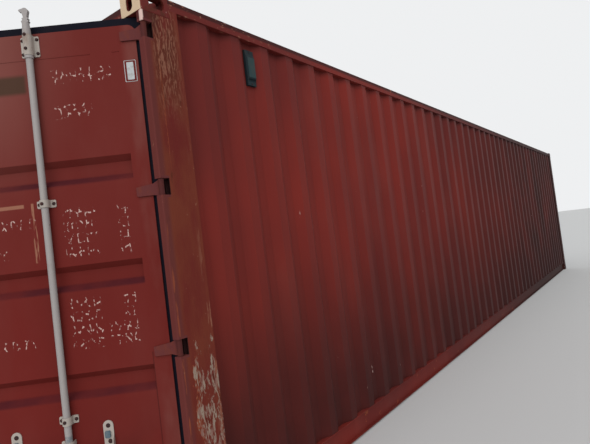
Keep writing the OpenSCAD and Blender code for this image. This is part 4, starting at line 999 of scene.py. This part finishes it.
def lay_floor(size):
    """Lays a square floor in a pale, dull colour at height 0."""
    half = size / 2
    mesh = bpy.data.meshes.new("floor")
    corners = [(-half, -half, 0), (half, -half, 0), (half, half, 0), (-half, half, 0)]
    mesh.from_pydata(corners, [], [(0, 1, 2, 3)])
    pale = bpy.data.materials.new("floor_pale")
    pale.use_nodes = True
    sockets = pale.node_tree.nodes["Principled BSDF"].inputs
    sockets["Base Color"].default_value = FLOOR_COLOUR
    sockets["Roughness"].default_value = 0.9
    sockets["Specular IOR Level"].default_value = 0.1
    mesh.materials.append(pale)
    floor = add_object("floor", mesh)


def light_studio(stage):
    """Sets a broad key lamp and an even light from all round, with a pale background."""
    lamp = bpy.data.lights.new("key", "SUN")
    lamp.energy = stage.sun
    lamp.angle = stage.sun_size
    key = add_object("key", lamp)
    key.rotation_euler = Vector(KEY_SIDE).to_track_quat("Z", "Y").to_euler()

    world = bpy.data.worlds.new("studio")
    bpy.context.scene.world = world
    world.use_nodes = True
    tree = world.node_tree
    fill = tree.nodes["Background"]
    fill.inputs["Color"].default_value = FILL_COLOUR
    fill.inputs["Strength"].default_value = stage.sky
    shown = add_node(tree, "ShaderNodeBackground", {"Color": BACKDROP_COLOUR})
    rays = tree.nodes.new("ShaderNodeLightPath").outputs
    seen = rays["Is Camera Ray"]
    for kind in ("Is Glossy Ray", "Is Transmission Ray"):
        seen = add_node(tree, "ShaderNodeMath", {0: seen, 1: rays[kind]}, operation="MAXIMUM")
    both = add_node(tree, "ShaderNodeMixShader", {0: seen, 1: fill.outputs[0], 2: shown})
    tree.links.new(both, tree.nodes["World Output"].inputs["Surface"])


def set_camera(stage):
    """Sets the camera, whose axes right, up and back come from yaw, pitch and roll."""
    level = cos(stage.pitch)
    forward = Vector((level * cos(stage.yaw), level * sin(stage.yaw), sin(stage.pitch)))
    right = forward.cross(Vector((0, 0, 1))).normalized()
    up = right.cross(forward)
    c, s = cos(stage.roll), sin(stage.roll)
    right, up = c * right + s * up, -s * right + c * up
    data = bpy.data.cameras.new("camera")
    data.sensor_width = SENSOR_WIDTH
    data.lens = stage.focal * data.sensor_width
    data.clip_start, data.clip_end = 0.05, 500
    camera = add_object("camera", data)
    camera.matrix_world = Matrix((*zip(right, up, -forward, stage.camera), (0, 0, 0, 1)))
    bpy.context.scene.camera = camera


class CONTAINER_OT_set_stage(bpy.types.Operator):
    """Sets the pale floor, the soft lamps and the camera"""

    bl_idname = "container.set_stage"
    bl_label = "Set floor, lamps and camera"

    def execute(self, context):
        stage = settings()[2]
        context.scene.view_settings.view_transform = "Standard"
        lay_floor(stage.floor_size)
        light_studio(stage)
        set_camera(stage)
        return {"FINISHED"}


OPERATORS = (
    CONTAINER_OT_paint_walls,
    CONTAINER_OT_paint_corners,
    CONTAINER_OT_paint_doors,
    CONTAINER_OT_paint_hardware,
    CONTAINER_OT_fit_bolts,
    CONTAINER_OT_fit_catch_tongues,
    CONTAINER_OT_lay_welds,
    CONTAINER_OT_set_stage,
)


class CONTAINER_PT_panel(bpy.types.Panel):
    """Lists the container's finishing steps"""

    bl_idname = "CONTAINER_PT_panel"
    bl_label = "Shipping container"
    bl_space_type = "VIEW_3D"
    bl_region_type = "UI"
    bl_category = "Container"

    def draw(self, context):
        for operator in OPERATORS:
            self.layout.operator(operator.bl_idname)


GROUPS = {
    "container_paints": ContainerPaints,
    "container_fixings": ContainerFixings,
    "container_stage": ContainerStage,
}


def register():
    for cls in (*GROUPS.values(), *OPERATORS, CONTAINER_PT_panel):
        bpy.utils.register_class(cls)
    for name, group in GROUPS.items():
        setattr(bpy.types.Scene, name, PointerProperty(type=group))


def unregister():
    for name in GROUPS:
        delattr(bpy.types.Scene, name)
    for cls in reversed((*GROUPS.values(), *OPERATORS, CONTAINER_PT_panel)):
        bpy.utils.unregister_class(cls)


def main():
    register()
    bpy.ops.container.paint_walls()
    bpy.ops.container.paint_corners()
    bpy.ops.container.paint_doors()
    bpy.ops.container.paint_hardware()
    bpy.ops.container.fit_bolts()
    bpy.ops.container.fit_catch_tongues()
    bpy.ops.container.lay_welds()
    bpy.ops.container.set_stage()


if __name__ == "__main__":
    main()
